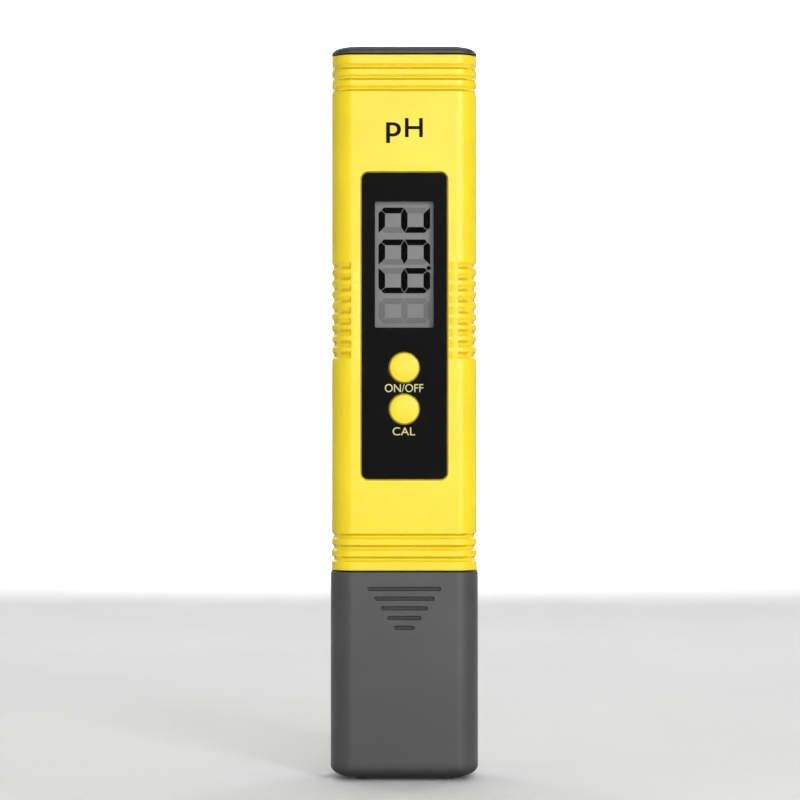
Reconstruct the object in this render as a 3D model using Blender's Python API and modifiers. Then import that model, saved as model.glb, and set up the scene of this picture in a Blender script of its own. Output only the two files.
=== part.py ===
"""Pocket pH meter: a flat yellow case standing in its grey protective cap.

The meter stands upright on +Z, its display faces -Y, and the origin is on the
floor under the middle of the cap. Every length below is in millimetres and is
turned into metres by MM where a shape is made.
"""

import math

import bmesh
import bpy
from mathutils import Matrix, Vector

MM = 0.001

# ---------------------------------------------------------------- driving dimensions

LENGTH = 155.0
CASE_WIDTH = 30.8
CASE_DEPTH = 15.6
CASE_CORNER = 4.5
WALL = 1.6
SEAM = 0.2                      # parting line between the two case halves
GAP = 0.3                       # clearance between pieces that meet

CAP_WIDTH = 31.2
CAP_DEPTH = 16.0
CAP_CORNER = 4.7
CAP_TOP = 44.0                  # rim of the protective cap
CAP_FLOOR = 3.0                 # inside of the cap's closed end
CAP_HEEL = 2.4                  # height of the rounding of the cap's lower edge
HEEL_REACH = (4.7, 3.1)         # how far that rounding draws the cap in, across and in depth
FOOT_WIDTH = 21.2
FOOT_DEPTH = 9.0
FOOT_HEIGHT = 0.57

CASE_BOTTOM = 44.3
CASE_TOP = 153.1
LID_BOTTOM = 153.35             # underside of the battery lid
LID_EDGE = 1.3                  # height of the rounding of the battery lid's top edge
LID_REACH = (3.4, 1.7)          # how far it draws the lid in, across and in depth

CORNER_STEPS = 6                # facets in each upright corner
ROUND_STEPS = 24                # facets round a small turned piece

# Ring grooves run right round the case, side grips only round its two edges.
RING_HEIGHTS = (46.73, 49.12, 51.51, 145.95, 148.28, 150.60)
RING_RADIUS = 0.70
RING_DEPTH = 0.50
GRIP_COUNT = 9
GRIP_CENTRE = 99.1
GRIP_PITCH = 2.36
GRIP_WIDTH = 1.24
GRIP_DEPTH = 0.48
GRIP_REACH = 11.2               # the grips start this far from the middle plane

# Grip lines on the cap: an upside-down triangle of short grooves.
CAP_LINE_TOP = 40.5
CAP_LINE_PITCH = 2.04
CAP_LINE_WIDTHS = (15.35, 12.6, 9.8, 7.05, 4.3)
CAP_LINE_HEIGHT = 0.8
CAP_LINE_DEPTH = 0.4

# Front panel, display and buttons.
PANEL_WIDTH = 17.9
PANEL_HEIGHT = 64.55
PANEL_Z = 95.85
PANEL_CORNER = 1.35
PANEL_RECESS = 1.1
PANEL_THICKNESS = 0.75
PANEL_SET_BACK = 0.05           # the panel lies this far under the case's face
PANEL_PLAY = 0.25
WINDOW_WIDTH = 12.37
WINDOW_HEIGHT = 26.65
DISPLAY_Z = 108.78
POWER_BUTTON_Z = 87.05
CAL_BUTTON_Z = 78.3
BUTTON_RADIUS = 3.14
BUTTON_PROUD = 0.2              # how far a button stands out of the case's face
BUTTON_PLAY = 0.22
BUTTON_FLANGE_RADIUS = 3.95
BUTTON_STEM_RADIUS = 1.5
BUTTON_STEM_END = 4.9           # how far the stem's end lies in front of the middle plane
LENS_WIDTH = 14.2               # flange of the clear window, behind the panel
LENS_HEIGHT = 28.3
LENS_PLAY = 0.36
FRAME_WIDTH = 17.2              # holder of the display glass, behind the window
FRAME_HEIGHT = 31.4
GLASS_WIDTH = 14.8
GLASS_HEIGHT = 29.8
GLASS_PLAY = 0.3                # the glass lies this loose in its frame
GLASS_THICKNESS = 1.2
ZEBRA_WIDTH = 1.6               # conductive rubber strips behind the glass
ZEBRA_HEIGHT = 27.0
ZEBRA_X = 6.3
LABEL_WIDTH = 18.0              # blank rating label on the rear half
LABEL_HEIGHT = 40.0
LABEL_Z = 96.0
LABEL_SEAT = 0.3

# Circuit board, standing upright behind the display.
BOARD_WIDTH = 23.0
BOARD_BOTTOM = 63.4
BOARD_TOP = 129.2
BOARD_FRONT = -2.0
BOARD_BACK = -1.0
BOARD_SCREWS = {
    "board_screw_left": (-9.6, 127.0),
    "board_screw_right": (9.6, 127.0),
    "board_screw_lower": (0.0, 67.5),
}
CASE_SCREWS = {
    "case_screw_upper": 132.6,
    "case_screw_lower": 60.2,
}
CASE_BOSS_RADIUS = 2.8
CASE_TUBE_RADIUS = 3.0
CASE_SCREW_HOLE = 1.2
CASE_HEAD_RADIUS = 1.9
CASE_HEAD_SEAT = 6.3            # where a case screw's head sits in the rear half
CASE_HEAD_HEIGHT = 1.2
CASE_SCREW_LENGTH = 11.5
CASE_SHANK_RADIUS = 0.95
BOARD_BOSS_RADIUS = 1.9
BOARD_SCREW_HOLE = 0.95
BOARD_HEAD_RADIUS = 1.6
BOARD_HEAD_HEIGHT = 0.9
BOARD_SCREW_LENGTH = 4.4
BOARD_SHANK_RADIUS = 0.7
CROSS_WIDTH = 0.45              # arms of the cross recess in a screw's head
SWITCH_SIZE = 5.2               # tact switches on the board's front
SWITCH_THICKNESS = 1.6
SWITCH_BORE = 1.5
SWITCH_BORE_DEPTH = 1.2
PLUNGER_RADIUS = 1.2

# The larger components: name, width, height, thickness, x, z and material.
COMPONENTS = (
    ("microcontroller", 7.0, 7.0, 1.2, 0.0, 104.0, "chip_plastic"),
    ("amplifier_chip", 4.0, 5.0, 1.4, -4.0, 76.0, "chip_plastic"),
    ("crystal", 3.2, 7.5, 1.6, 7.2, 104.0, "steel"),
    ("capacitor", 2.8, 3.5, 1.7, 5.0, 82.0, "capacitor_body"),
)

# Electrode and its holder, which plugs into the cap.
HOLDER_WIDTH = 27.0
HOLDER_DEPTH = 11.8
HOLDER_CORNER = 2.6
HOLDER_BOTTOM = 36.0
HOLDER_TOP = 56.0
FLANGE_BOTTOM = 53.4
FLANGE_TOP = 54.8
FLANGE_REACH = 0.6              # the flange stands this far out of the holder
POCKET_SIZE = (5.8, 8.8)        # recesses beside the electrode, open at the top
POCKET_BOTTOM = 39.4
TUBE_RADIUS = 4.5
TUBE_BORE = 3.6
TUBE_BOTTOM = 14.0
TUBE_TOP = 54.0
GUARD_SLOT = 3.0                # width of the slots between the guard's fingers
GUARD_SLOT_TOP = 22.5
STEM_RADIUS = 2.3
STEM_TOP = 49.5
GLASS_WALL = 0.5
BULB_RADIUS = 3.0
BULB_Z = 19.7
PROBE_X = 9.2
PROBE_RADIUS = 1.0
PROBE_BOTTOM = 21.0
PROBE_TOP = 48.0
JUNCTION_BOTTOM = 24.5
JUNCTION_TOP = 26.5
STEM_SEAL_BOTTOM = 26.8
STEM_SEAL_TOP = 30.0
PLUG_BOTTOM = 50.0
REFERENCE_X = 2.9
REFERENCE_BOTTOM = 31.0
WIRE_RADIUS = 0.3
LEAD_RADIUS = 0.45

# Soft rings in grooves round the holder and round the lid's skirt.
SEAL_RADIUS = 0.45
SEAL_INSET = 0.25               # the ring's centre line lies this far inside the surface
CAP_SEAL_Z = 37.7
LID_SEAL_Z = 151.9
LID_SKIRT_BOTTOM = 150.8
SPONGE_HEIGHT = 4.0

# Button cells side by side in a tray under the battery lid.
CELL_RADIUS = 5.8
CELL_THICKNESS = 5.4
CELL_X = 6.5
CELL_Z = 144.0
CELL_FRONT = -3.3
TRAY_WIDTH = 26.4
TRAY_FRONT = -5.2
TRAY_BACK = 2.2
TRAY_BOTTOM = 137.5
TRAY_TOP = 150.4
TRAY_NECK = (14.0, 5.0)         # joins the tray to the lid
BRIDGE_SIZE = (17.0, 4.0)       # strip that joins the two cells
BRIDGE_SLOT = (2.0, 4.6)
CONTACT_X = 5.5
CONTACT_WIDTH = 3.0
CONTACT_THICKNESS = 0.3
CONTACT_ENDS = (121.5, 147.0)
CONTACT_BENDS = (129.5, 134.5)

FACE = -CASE_DEPTH / 2.0        # the case's front face
BACK = CASE_DEPTH / 2.0
INNER_WIDTH = CASE_WIDTH - 2.0 * WALL
INNER_DEPTH = CASE_DEPTH - 2.0 * WALL
INNER_CORNER = CASE_CORNER - WALL
PANEL_FRONT = FACE + PANEL_SET_BACK
PANEL_BACK = PANEL_FRONT + PANEL_THICKNESS
RECESS_FLOOR = FACE + PANEL_RECESS
INNER_FACE = FACE + WALL

# ---------------------------------------------------------------- materials

COLOURS = {
    "yellow_plastic": ((0.98, 0.80, 0.06), 0.38, 0.0),
    "cap_plastic": ((0.125, 0.122, 0.125), 0.42, 0.0),
    "lid_plastic": ((0.105, 0.102, 0.107), 0.45, 0.0),
    "panel_plastic": ((0.010, 0.010, 0.011), 0.40, 0.0),
    "inner_plastic": ((0.035, 0.036, 0.040), 0.50, 0.0),
    "white_plastic": ((0.78, 0.78, 0.74), 0.45, 0.0),
    "label_film": ((0.80, 0.80, 0.78), 0.35, 0.0),
    "clear_plastic": ((0.80, 0.84, 0.84), 0.08, 0.0),
    "display_glass": ((0.21, 0.22, 0.21), 0.15, 0.0),
    "bulb_glass": ((0.75, 0.85, 0.88), 0.05, 0.0),
    "seal_rubber": ((0.020, 0.020, 0.022), 0.65, 0.0),
    "zebra_rubber": ((0.36, 0.24, 0.20), 0.60, 0.0),
    "sponge": ((0.72, 0.62, 0.30), 0.95, 0.0),
    "porous_ceramic": ((0.80, 0.78, 0.72), 0.80, 0.0),
    "epoxy": ((0.03, 0.035, 0.05), 0.35, 0.0),
    "board_laminate": ((0.02, 0.16, 0.06), 0.40, 0.0),
    "chip_plastic": ((0.015, 0.015, 0.016), 0.50, 0.0),
    "capacitor_body": ((0.55, 0.35, 0.07), 0.45, 0.0),
    "steel": ((0.56, 0.56, 0.58), 0.30, 1.0),
    "spring_metal": ((0.66, 0.60, 0.46), 0.32, 1.0),
    "silver": ((0.75, 0.75, 0.76), 0.28, 1.0),
    "red_wire": ((0.55, 0.02, 0.02), 0.45, 0.0),
    "black_wire": ((0.02, 0.02, 0.02), 0.45, 0.0),
    "white_wire": ((0.75, 0.75, 0.72), 0.45, 0.0),
}


def make_material(name):
    """A plain Principled material of the named colour, roughness and metallic value."""
    colour, roughness, metallic = COLOURS[name]
    material = bpy.data.materials.get(name) or bpy.data.materials.new(name)
    material.use_nodes = True
    shader = material.node_tree.nodes["Principled BSDF"]
    shader.inputs["Base Color"].default_value = (*colour, 1.0)
    shader.inputs["Roughness"].default_value = roughness
    shader.inputs["Metallic"].default_value = metallic
    return material


# ---------------------------------------------------------------- scene and helpers

for old in list(bpy.data.objects):
    bpy.data.objects.remove(old, do_unlink=True)

PARTS = bpy.data.collections.new("pocket_ph_meter")
CUTTERS = bpy.data.collections.new("cutters")
bpy.context.scene.collection.children.link(PARTS)
bpy.context.scene.collection.children.link(CUTTERS)


def add_part(name, mesh, material, smooth_angle=35.0):
    """Put a mesh in the scene as a named part, smooth where its faces meet gently."""
    part = bpy.data.objects.new(name, mesh)
    PARTS.objects.link(part)
    mesh.materials.append(make_material(material))
    mesh.shade_smooth()
    mesh.set_sharp_from_angle(angle=math.radians(smooth_angle))
    return part


def add_tool(name, mesh):
    """Put a mesh in the scene as a cutter or a piece to join on, hidden in a render."""
    tool = bpy.data.objects.new(name, mesh)
    CUTTERS.objects.link(tool)
    tool.hide_render = True
    tool.display_type = "WIRE"
    return tool


def boolean(target, tool, operation, solver):
    """Cut the tool from the target, or join it on."""
    modifier = target.modifiers.new(tool.name, "BOOLEAN")
    modifier.operation = operation
    modifier.solver = solver
    modifier.object = tool


def cut(target, *tools, solver="EXACT"):
    for tool in tools:
        boolean(target, tool, "DIFFERENCE", solver)


def join(target, *tools, solver="EXACT"):
    for tool in tools:
        boolean(target, tool, "UNION", solver)


def to_mesh(name, shape):
    """Turn a bmesh built in millimetres into a mesh in metres."""
    bmesh.ops.scale(shape, vec=(MM, MM, MM), verts=shape.verts)
    bmesh.ops.recalc_face_normals(shape, faces=shape.faces)
    mesh = bpy.data.meshes.new(name)
    shape.to_mesh(mesh)
    shape.free()
    return mesh


def round_edges(shape, edges, radius, steps):
    bmesh.ops.bevel(
        shape, geom=edges, offset=radius, segments=steps, profile=0.5, affect="EDGES"
    )


def edges_at(shape, axis, place):
    """The edges that lie wholly in the plane where the axis has this value."""
    return [
        edge
        for edge in shape.edges
        if all(abs(vert.co[axis] - place) < 1e-4 for vert in edge.verts)
    ]


def add_prism(shape, size, low, high, corner, axis=2, steps=CORNER_STEPS, centre=(0.0, 0.0),
              low_edge=0.0, high_edge=0.0, edge_steps=3):
    """Add a bar with rounded corners that runs along an axis from low to high.

    size and centre are given on the two other axes, in X, Y, Z order. low_edge
    and high_edge round the rims of the two ends.
    """
    bar = bmesh.new()
    bmesh.ops.create_cube(bar, size=1.0)
    bmesh.ops.scale(bar, vec=(size[0], size[1], high - low), verts=bar.verts)
    bmesh.ops.translate(bar, vec=(0.0, 0.0, (low + high) / 2.0), verts=bar.verts)
    if corner:
        upright = [e for e in bar.edges if abs(e.verts[0].co.z - e.verts[1].co.z) > 1e-4]
        round_edges(bar, upright, corner, steps)
    if low_edge:
        round_edges(bar, edges_at(bar, 2, low), low_edge, edge_steps)
    if high_edge:
        round_edges(bar, edges_at(bar, 2, high), high_edge, edge_steps)
    for vert in bar.verts:
        across, along, up = vert.co
        across += centre[0]
        along += centre[1]
        placed = {0: (up, across, along), 1: (across, up, along), 2: (across, along, up)}
        vert.co = placed[axis]
    piece = bpy.data.meshes.new("bar")
    bar.to_mesh(piece)
    bar.free()
    shape.from_mesh(piece)
    bpy.data.meshes.remove(piece)


def prism_mesh(name, *args, **options):
    shape = bmesh.new()
    add_prism(shape, *args, **options)
    return to_mesh(name, shape)


def draw_in(mesh, start, end, size, reach):
    """Widen a round rim into a flatter, elliptical one.

    The rim runs from the height start to the height end. size is the body's width
    and depth, and reach is how far the rim draws each of them in on either side.
    """
    for vert in mesh.vertices:
        climb = (vert.co.z / MM - start) / (end - start)
        if climb <= 0.0:
            continue
        share = 1.0 - math.sqrt(max(0.0, 1.0 - climb * climb))
        for axis in (0, 1):
            half = size[axis] / 2.0
            round_half = half - abs(end - start) * share
            vert.co[axis] *= (half - reach[axis] * share) / round_half


def add_cylinder(shape, radius, start, end, steps=ROUND_STEPS):
    """Add a cylinder between two points."""
    start = Vector(start)
    end = Vector(end)
    turn = (end - start).to_track_quat("Z", "Y").to_matrix().to_4x4()
    bmesh.ops.create_cone(
        shape,
        cap_ends=True,
        cap_tris=False,
        segments=steps,
        radius1=radius,
        radius2=radius,
        depth=(end - start).length,
        matrix=Matrix.Translation((start + end) / 2.0) @ turn,
    )


def cylinder_mesh(name, radius, start, end, steps=ROUND_STEPS):
    shape = bmesh.new()
    add_cylinder(shape, radius, start, end, steps)
    return to_mesh(name, shape)


def turned_part(name, profile, material, place=(0.0, 0.0, 0.0), faces_front=False,
                steps=ROUND_STEPS, closed=False):
    """A part turned about its own Z axis from (radius, height) points, outer side downwards.

    faces_front lays the axis along Y with the profile's top towards -Y. The
    part's origin is at the place given, on its axis.
    """
    points = [(radius * MM, 0.0, height * MM) for radius, height in profile]
    edges = [(i, i + 1) for i in range(len(points) - 1)]
    if closed:
        edges.append((len(points) - 1, 0))
    mesh = bpy.data.meshes.new(name)
    mesh.from_pydata(points, edges, [])
    part = bpy.data.objects.new(name, mesh)
    PARTS.objects.link(part)
    mesh.materials.append(make_material(material))
    part.location = Vector(place) * MM
    if faces_front:
        part.rotation_euler = (math.radians(90.0), 0.0, 0.0)
    screw = part.modifiers.new("turn", "SCREW")
    screw.axis = "Z"
    screw.steps = steps
    screw.render_steps = steps
    screw.use_merge_vertices = True
    screw.merge_threshold = 0.000005
    screw.use_smooth_shade = True
    return part


def arc(centre, radius, start, end, steps):
    """Points on an arc, from the start angle to the end angle in degrees."""
    points = []
    for i in range(steps + 1):
        angle = math.radians(start + (end - start) * i / steps)
        points.append((centre[0] + radius * math.cos(angle), centre[1] + radius * math.sin(angle)))
    return points


def rounded_outline(width, depth, corner, steps=CORNER_STEPS):
    """Points round a rectangle with rounded corners, anticlockwise."""
    x = width / 2.0 - corner
    y = depth / 2.0 - corner
    points = []
    for centre, start in (((x, y), 0), ((-x, y), 90), ((-x, -y), 180), ((x, -y), 270)):
        points += arc(centre, corner, start, start + 90, steps)
    return points


def tube_mesh(name, points, radius, closed=False, sides=12):
    """A round tube along the points, with flat ends unless it is closed."""
    curve = bpy.data.curves.new(name, "CURVE")
    curve.dimensions = "3D"
    curve.bevel_depth = radius * MM
    curve.bevel_resolution = (sides - 4) // 2
    curve.use_fill_caps = not closed
    spline = curve.splines.new("POLY")
    spline.points.add(len(points) - 1)
    spline.use_cyclic_u = closed
    for point, place in zip(spline.points, points):
        point.co = (*(Vector(place) * MM), 1.0)
    guide = bpy.data.objects.new(name + "_guide", curve)
    CUTTERS.objects.link(guide)
    bpy.context.view_layer.update()
    evaluated = guide.evaluated_get(bpy.context.evaluated_depsgraph_get())
    mesh = bpy.data.meshes.new_from_object(evaluated)
    mesh.name = name
    bpy.data.objects.remove(guide)
    bpy.data.curves.remove(curve)
    shape = bmesh.new()
    shape.from_mesh(mesh)
    bmesh.ops.remove_doubles(shape, verts=shape.verts, dist=0.00001)
    bmesh.ops.recalc_face_normals(shape, faces=shape.faces)
    shape.to_mesh(mesh)
    shape.free()
    return mesh


def ring_points(width, depth, corner, height, steps=CORNER_STEPS):
    return [(x, y, height) for x, y in rounded_outline(width, depth, corner, steps)]


def smooth_route(points, steps=3):
    """Read a Catmull-Rom curve through the route's own points."""
    places = [Vector(p) for p in points]
    padded = [places[0] * 2.0 - places[1], *places, places[-1] * 2.0 - places[-2]]
    route = []
    for before, start, end, after in zip(padded, padded[1:], padded[2:], padded[3:]):
        for i in range(steps):
            t = i / steps
            route.append(
                (start * 2.0 + (end - before) * t
                 + (before * 2.0 - start * 5.0 + end * 4.0 - after) * t * t
                 + (start * 3.0 - before - end * 3.0 + after) * t * t * t) / 2.0
            )
    route.append(places[-1])
    return route


# ---------------------------------------------------------------- case halves


def ring_groove_cutter():
    """Round-bottomed grooves right round the case, near both of its ends."""
    out = 2.0 * (RING_RADIUS - RING_DEPTH)
    joined = bmesh.new()
    for height in RING_HEIGHTS:
        points = ring_points(CASE_WIDTH + out, CASE_DEPTH + out, CASE_CORNER + out / 2.0, height)
        groove = tube_mesh("ring_groove", points, RING_RADIUS, closed=True, sides=8)
        joined.from_mesh(groove)
        bpy.data.meshes.remove(groove)
    mesh = bpy.data.meshes.new("ring_grooves")
    joined.to_mesh(mesh)
    joined.free()
    return add_tool("ring_grooves", mesh)


def grip_cutter():
    """Finger grooves that wrap both narrow edges of the case."""
    shape = bmesh.new()
    lowest = GRIP_CENTRE - GRIP_PITCH * (GRIP_COUNT - 1) / 2.0
    width = CASE_WIDTH / 2.0 + 1.0 - GRIP_REACH
    for side in (-1.0, 1.0):
        middle = side * (GRIP_REACH + width / 2.0)
        for i in range(GRIP_COUNT):
            height = lowest + GRIP_PITCH * i
            add_prism(
                shape, (width, CASE_DEPTH + 2.0), height - GRIP_WIDTH / 2.0,
                height + GRIP_WIDTH / 2.0, 0.0, centre=(middle, 0.0),
            )
    grips = add_tool("side_grips", to_mesh("side_grips", shape))
    core = prism_mesh(
        "grip_core", (CASE_WIDTH - 2.0 * GRIP_DEPTH, CASE_DEPTH - 2.0 * GRIP_DEPTH),
        CASE_BOTTOM, CASE_TOP, CASE_CORNER - GRIP_DEPTH,
    )
    cut(grips, add_tool("grip_core", core))
    return grips


def case_half(name, side, grooves, grips):
    """One half of the case as an open shell: side -1 is the front, +1 the rear."""
    body = prism_mesh(name, (CASE_WIDTH, CASE_DEPTH), CASE_BOTTOM, CASE_TOP, CASE_CORNER,
                      low_edge=0.25, high_edge=0.25, edge_steps=2)
    shell = add_part(name, body, "yellow_plastic")
    seam = side * SEAM / 2.0
    far = -side * CASE_DEPTH
    half = prism_mesh(name + "_half", (CASE_WIDTH + 4.0, abs(far - seam)), CASE_BOTTOM - 2.0,
                      CASE_TOP + 2.0, 0.0, centre=(0.0, (far + seam) / 2.0))
    hollow = prism_mesh(name + "_hollow", (INNER_WIDTH, INNER_DEPTH), CASE_BOTTOM - 1.0,
                        CASE_TOP + 1.0, INNER_CORNER)
    reach = 2.0 * (FLANGE_REACH + GAP)
    groove = prism_mesh(
        name + "_flange_groove", (HOLDER_WIDTH + reach, HOLDER_DEPTH + reach),
        FLANGE_BOTTOM - GAP, FLANGE_TOP + GAP, HOLDER_CORNER + reach / 2.0,
    )
    # The grooves' facets line up with the case's corners, which EXACT leaves open here.
    cut(shell, grips, grooves, add_tool(name + "_half", half), add_tool(name + "_hollow", hollow),
        add_tool(name + "_flange_groove", groove), solver="MANIFOLD")
    return shell


def front_shell(grooves, grips):
    """Front half: recess for the panel, display opening, button holes and screw bosses."""
    shell = case_half("front_shell", -1.0, grooves, grips)
    recess = prism_mesh(
        "panel_recess", (PANEL_WIDTH + 2.0 * PANEL_PLAY, PANEL_HEIGHT + 2.0 * PANEL_PLAY),
        FACE - 1.0, RECESS_FLOOR, PANEL_CORNER + PANEL_PLAY, axis=1, centre=(0.0, PANEL_Z),
    )
    holes = bmesh.new()
    add_prism(holes, (LENS_WIDTH + 2.0 * GAP, LENS_HEIGHT + 2.0 * GAP), RECESS_FLOOR - 0.2,
              INNER_FACE + 0.2, 0.8, axis=1, centre=(0.0, DISPLAY_Z))
    for height in (POWER_BUTTON_Z, CAL_BUTTON_Z):
        add_cylinder(holes, BUTTON_FLANGE_RADIUS + GAP,
                     (0.0, RECESS_FLOOR - 0.2, height), (0.0, INNER_FACE + 0.2, height))

    bosses = bmesh.new()
    pilots = bmesh.new()
    for height in CASE_SCREWS.values():
        add_cylinder(bosses, CASE_BOSS_RADIUS, (0.0, INNER_FACE - 0.4, height),
                     (0.0, -GAP, height))
        add_cylinder(pilots, CASE_SCREW_HOLE, (0.0, INNER_FACE + 0.4, height),
                     (0.0, 1.0, height), steps=16)
    for x, height in BOARD_SCREWS.values():
        add_cylinder(bosses, BOARD_BOSS_RADIUS, (x, INNER_FACE - 0.25, height),
                     (x, BOARD_FRONT - GAP, height), steps=20)
        add_cylinder(pilots, BOARD_SCREW_HOLE, (x, INNER_FACE + 0.3, height),
                     (x, 0.0, height), steps=16)

    cut(shell, add_tool("panel_recess", recess), add_tool("panel_holes", to_mesh("holes", holes)),
        solver="MANIFOLD")
    join(shell, add_tool("front_bosses", to_mesh("front_bosses", bosses)), solver="MANIFOLD")
    cut(shell, add_tool("front_pilots", to_mesh("front_pilots", pilots)), solver="MANIFOLD")


def rear_shell(grooves, grips):
    """Rear half: screw tubes with sunk heads, and a shallow seat for the blank label."""
    shell = case_half("rear_shell", 1.0, grooves, grips)
    tubes = bmesh.new()
    holes = bmesh.new()
    sinks = bmesh.new()
    for height in CASE_SCREWS.values():
        add_cylinder(tubes, CASE_TUBE_RADIUS, (0.0, GAP, height),
                     (0.0, INNER_DEPTH / 2.0 + 0.4, height))
        add_cylinder(holes, CASE_SCREW_HOLE, (0.0, -1.0, height), (0.0, BACK + 1.0, height),
                     steps=16)
        add_cylinder(sinks, CASE_HEAD_RADIUS + GAP, (0.0, CASE_HEAD_SEAT, height),
                     (0.0, BACK + 2.0, height))
    seat = prism_mesh("label_seat", (LABEL_WIDTH + 0.4, LABEL_HEIGHT + 0.4), BACK - LABEL_SEAT,
                      BACK + 1.0, 1.2, axis=1, centre=(0.0, LABEL_Z))
    join(shell, add_tool("rear_screw_tubes", to_mesh("rear_screw_tubes", tubes)),
         solver="MANIFOLD")
    cut(shell, add_tool("rear_screw_holes", to_mesh("rear_screw_holes", holes)),
        add_tool("screw_head_sinks", to_mesh("screw_head_sinks", sinks)),
        add_tool("label_seat", seat), solver="MANIFOLD")


def rear_label():
    """A blank printed film in its seat on the rear half."""
    front = BACK - LABEL_SEAT + 0.05
    mesh = prism_mesh("rear_label", (LABEL_WIDTH, LABEL_HEIGHT), front, front + 0.2, 1.0, axis=1,
                      centre=(0.0, LABEL_Z))
    add_part("rear_label", mesh, "label_film")


# ---------------------------------------------------------------- panel, window and buttons


def face_panel():
    """Black panel with an opening for the display and a hole for each button."""
    mesh = prism_mesh("face_panel", (PANEL_WIDTH, PANEL_HEIGHT), PANEL_FRONT, PANEL_BACK,
                      PANEL_CORNER, axis=1, centre=(0.0, PANEL_Z), low_edge=0.12, edge_steps=2)
    panel = add_part("face_panel", mesh, "panel_plastic")
    holes = bmesh.new()
    add_prism(holes, (WINDOW_WIDTH, WINDOW_HEIGHT), PANEL_FRONT - 1.0, PANEL_BACK + 1.0, 0.3,
              axis=1, centre=(0.0, DISPLAY_Z), steps=3)
    for height in (POWER_BUTTON_Z, CAL_BUTTON_Z):
        add_cylinder(holes, BUTTON_RADIUS + BUTTON_PLAY, (0.0, PANEL_FRONT - 1.0, height),
                     (0.0, PANEL_BACK + 1.0, height), steps=28)
    cut(panel, add_tool("face_panel_holes", to_mesh("face_panel_holes", holes)))


def display_window():
    """Clear window: a step fills the panel's opening, a flange sits behind the panel."""
    flange_front = PANEL_BACK + PANEL_PLAY
    mesh = prism_mesh("display_window", (LENS_WIDTH, LENS_HEIGHT), flange_front, INNER_FACE, 0.6,
                      axis=1, centre=(0.0, DISPLAY_Z), steps=3)
    window = add_part("display_window", mesh, "clear_plastic")
    step = prism_mesh("window_step", (WINDOW_WIDTH - LENS_PLAY, WINDOW_HEIGHT - LENS_PLAY),
                      PANEL_FRONT + 0.03, flange_front + 0.2, 0.25, axis=1,
                      centre=(0.0, DISPLAY_Z), steps=3)
    join(window, add_tool("window_step", step))


def push_button(name, height):
    """Yellow push button: round head, retaining flange and a stem that presses the switch."""
    front = -FACE + BUTTON_PROUD
    edge = 0.55
    flange_front = -RECESS_FLOOR
    flange_back = flange_front - 0.7
    head = arc((BUTTON_RADIUS - edge, front - edge), edge, 90.0, 0.0, 3)
    profile = [(0.0, front), *head, (BUTTON_RADIUS, flange_front),
               (BUTTON_FLANGE_RADIUS, flange_front), (BUTTON_FLANGE_RADIUS, flange_back),
               (BUTTON_STEM_RADIUS, flange_back), (BUTTON_STEM_RADIUS, BUTTON_STEM_END),
               (0.0, BUTTON_STEM_END)]
    turned_part(name, profile, "yellow_plastic", (0.0, 0.0, height), faces_front=True, steps=28)


# ---------------------------------------------------------------- display and circuit board


def display_parts():
    """Display glass, its frame and the two conductive rubber strips behind it."""
    front = INNER_FACE + GAP
    glass_back = front + GLASS_THICKNESS
    frame_back = BOARD_FRONT - GAP
    centre = (0.0, DISPLAY_Z)

    mesh = prism_mesh("display_frame", (FRAME_WIDTH, FRAME_HEIGHT), front, frame_back, 0.6,
                      axis=1, centre=centre, steps=3)
    frame = add_part("display_frame", mesh, "inner_plastic")
    opening = (GLASS_WIDTH + 2.0 * GLASS_PLAY, GLASS_HEIGHT + 2.0 * GLASS_PLAY)
    pocket = prism_mesh("display_pocket", opening, front - 1.0, frame_back + 1.0, 0.0, axis=1,
                        centre=centre)
    cut(frame, add_tool("display_pocket", pocket))

    glass = prism_mesh("display_glass", (GLASS_WIDTH, GLASS_HEIGHT), front, glass_back, 0.0,
                       axis=1, centre=centre)
    add_part("display_glass", glass, "display_glass")
    for side, x in (("left", -ZEBRA_X), ("right", ZEBRA_X)):
        name = "zebra_strip_" + side
        strip = prism_mesh(name, (ZEBRA_WIDTH, ZEBRA_HEIGHT), glass_back + 0.2, frame_back, 0.0,
                           axis=1, centre=(x, DISPLAY_Z))
        add_part(name, strip, "zebra_rubber")


def main_board():
    """Upright circuit board with its three screw holes."""
    height = BOARD_TOP - BOARD_BOTTOM
    mesh = prism_mesh("main_board", (BOARD_WIDTH, height), BOARD_FRONT, BOARD_BACK, 0.8, axis=1,
                      centre=(0.0, (BOARD_TOP + BOARD_BOTTOM) / 2.0), steps=3)
    board = add_part("main_board", mesh, "board_laminate")
    holes = bmesh.new()
    for x, z in BOARD_SCREWS.values():
        add_cylinder(holes, BOARD_SCREW_HOLE + 0.15, (x, BOARD_FRONT - 1.0, z),
                     (x, BOARD_BACK + 1.0, z), steps=16)
    cut(board, add_tool("board_holes", to_mesh("board_holes", holes)))


def board_components():
    """The larger components on the rear of the board."""
    front = BOARD_BACK + GAP
    for name, width, height, thickness, x, z, material in COMPONENTS:
        mesh = prism_mesh(name, (width, height), front, front + thickness, 0.3, axis=1,
                          centre=(x, z), steps=2, high_edge=0.15, edge_steps=1)
        add_part(name, mesh, material)


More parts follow.
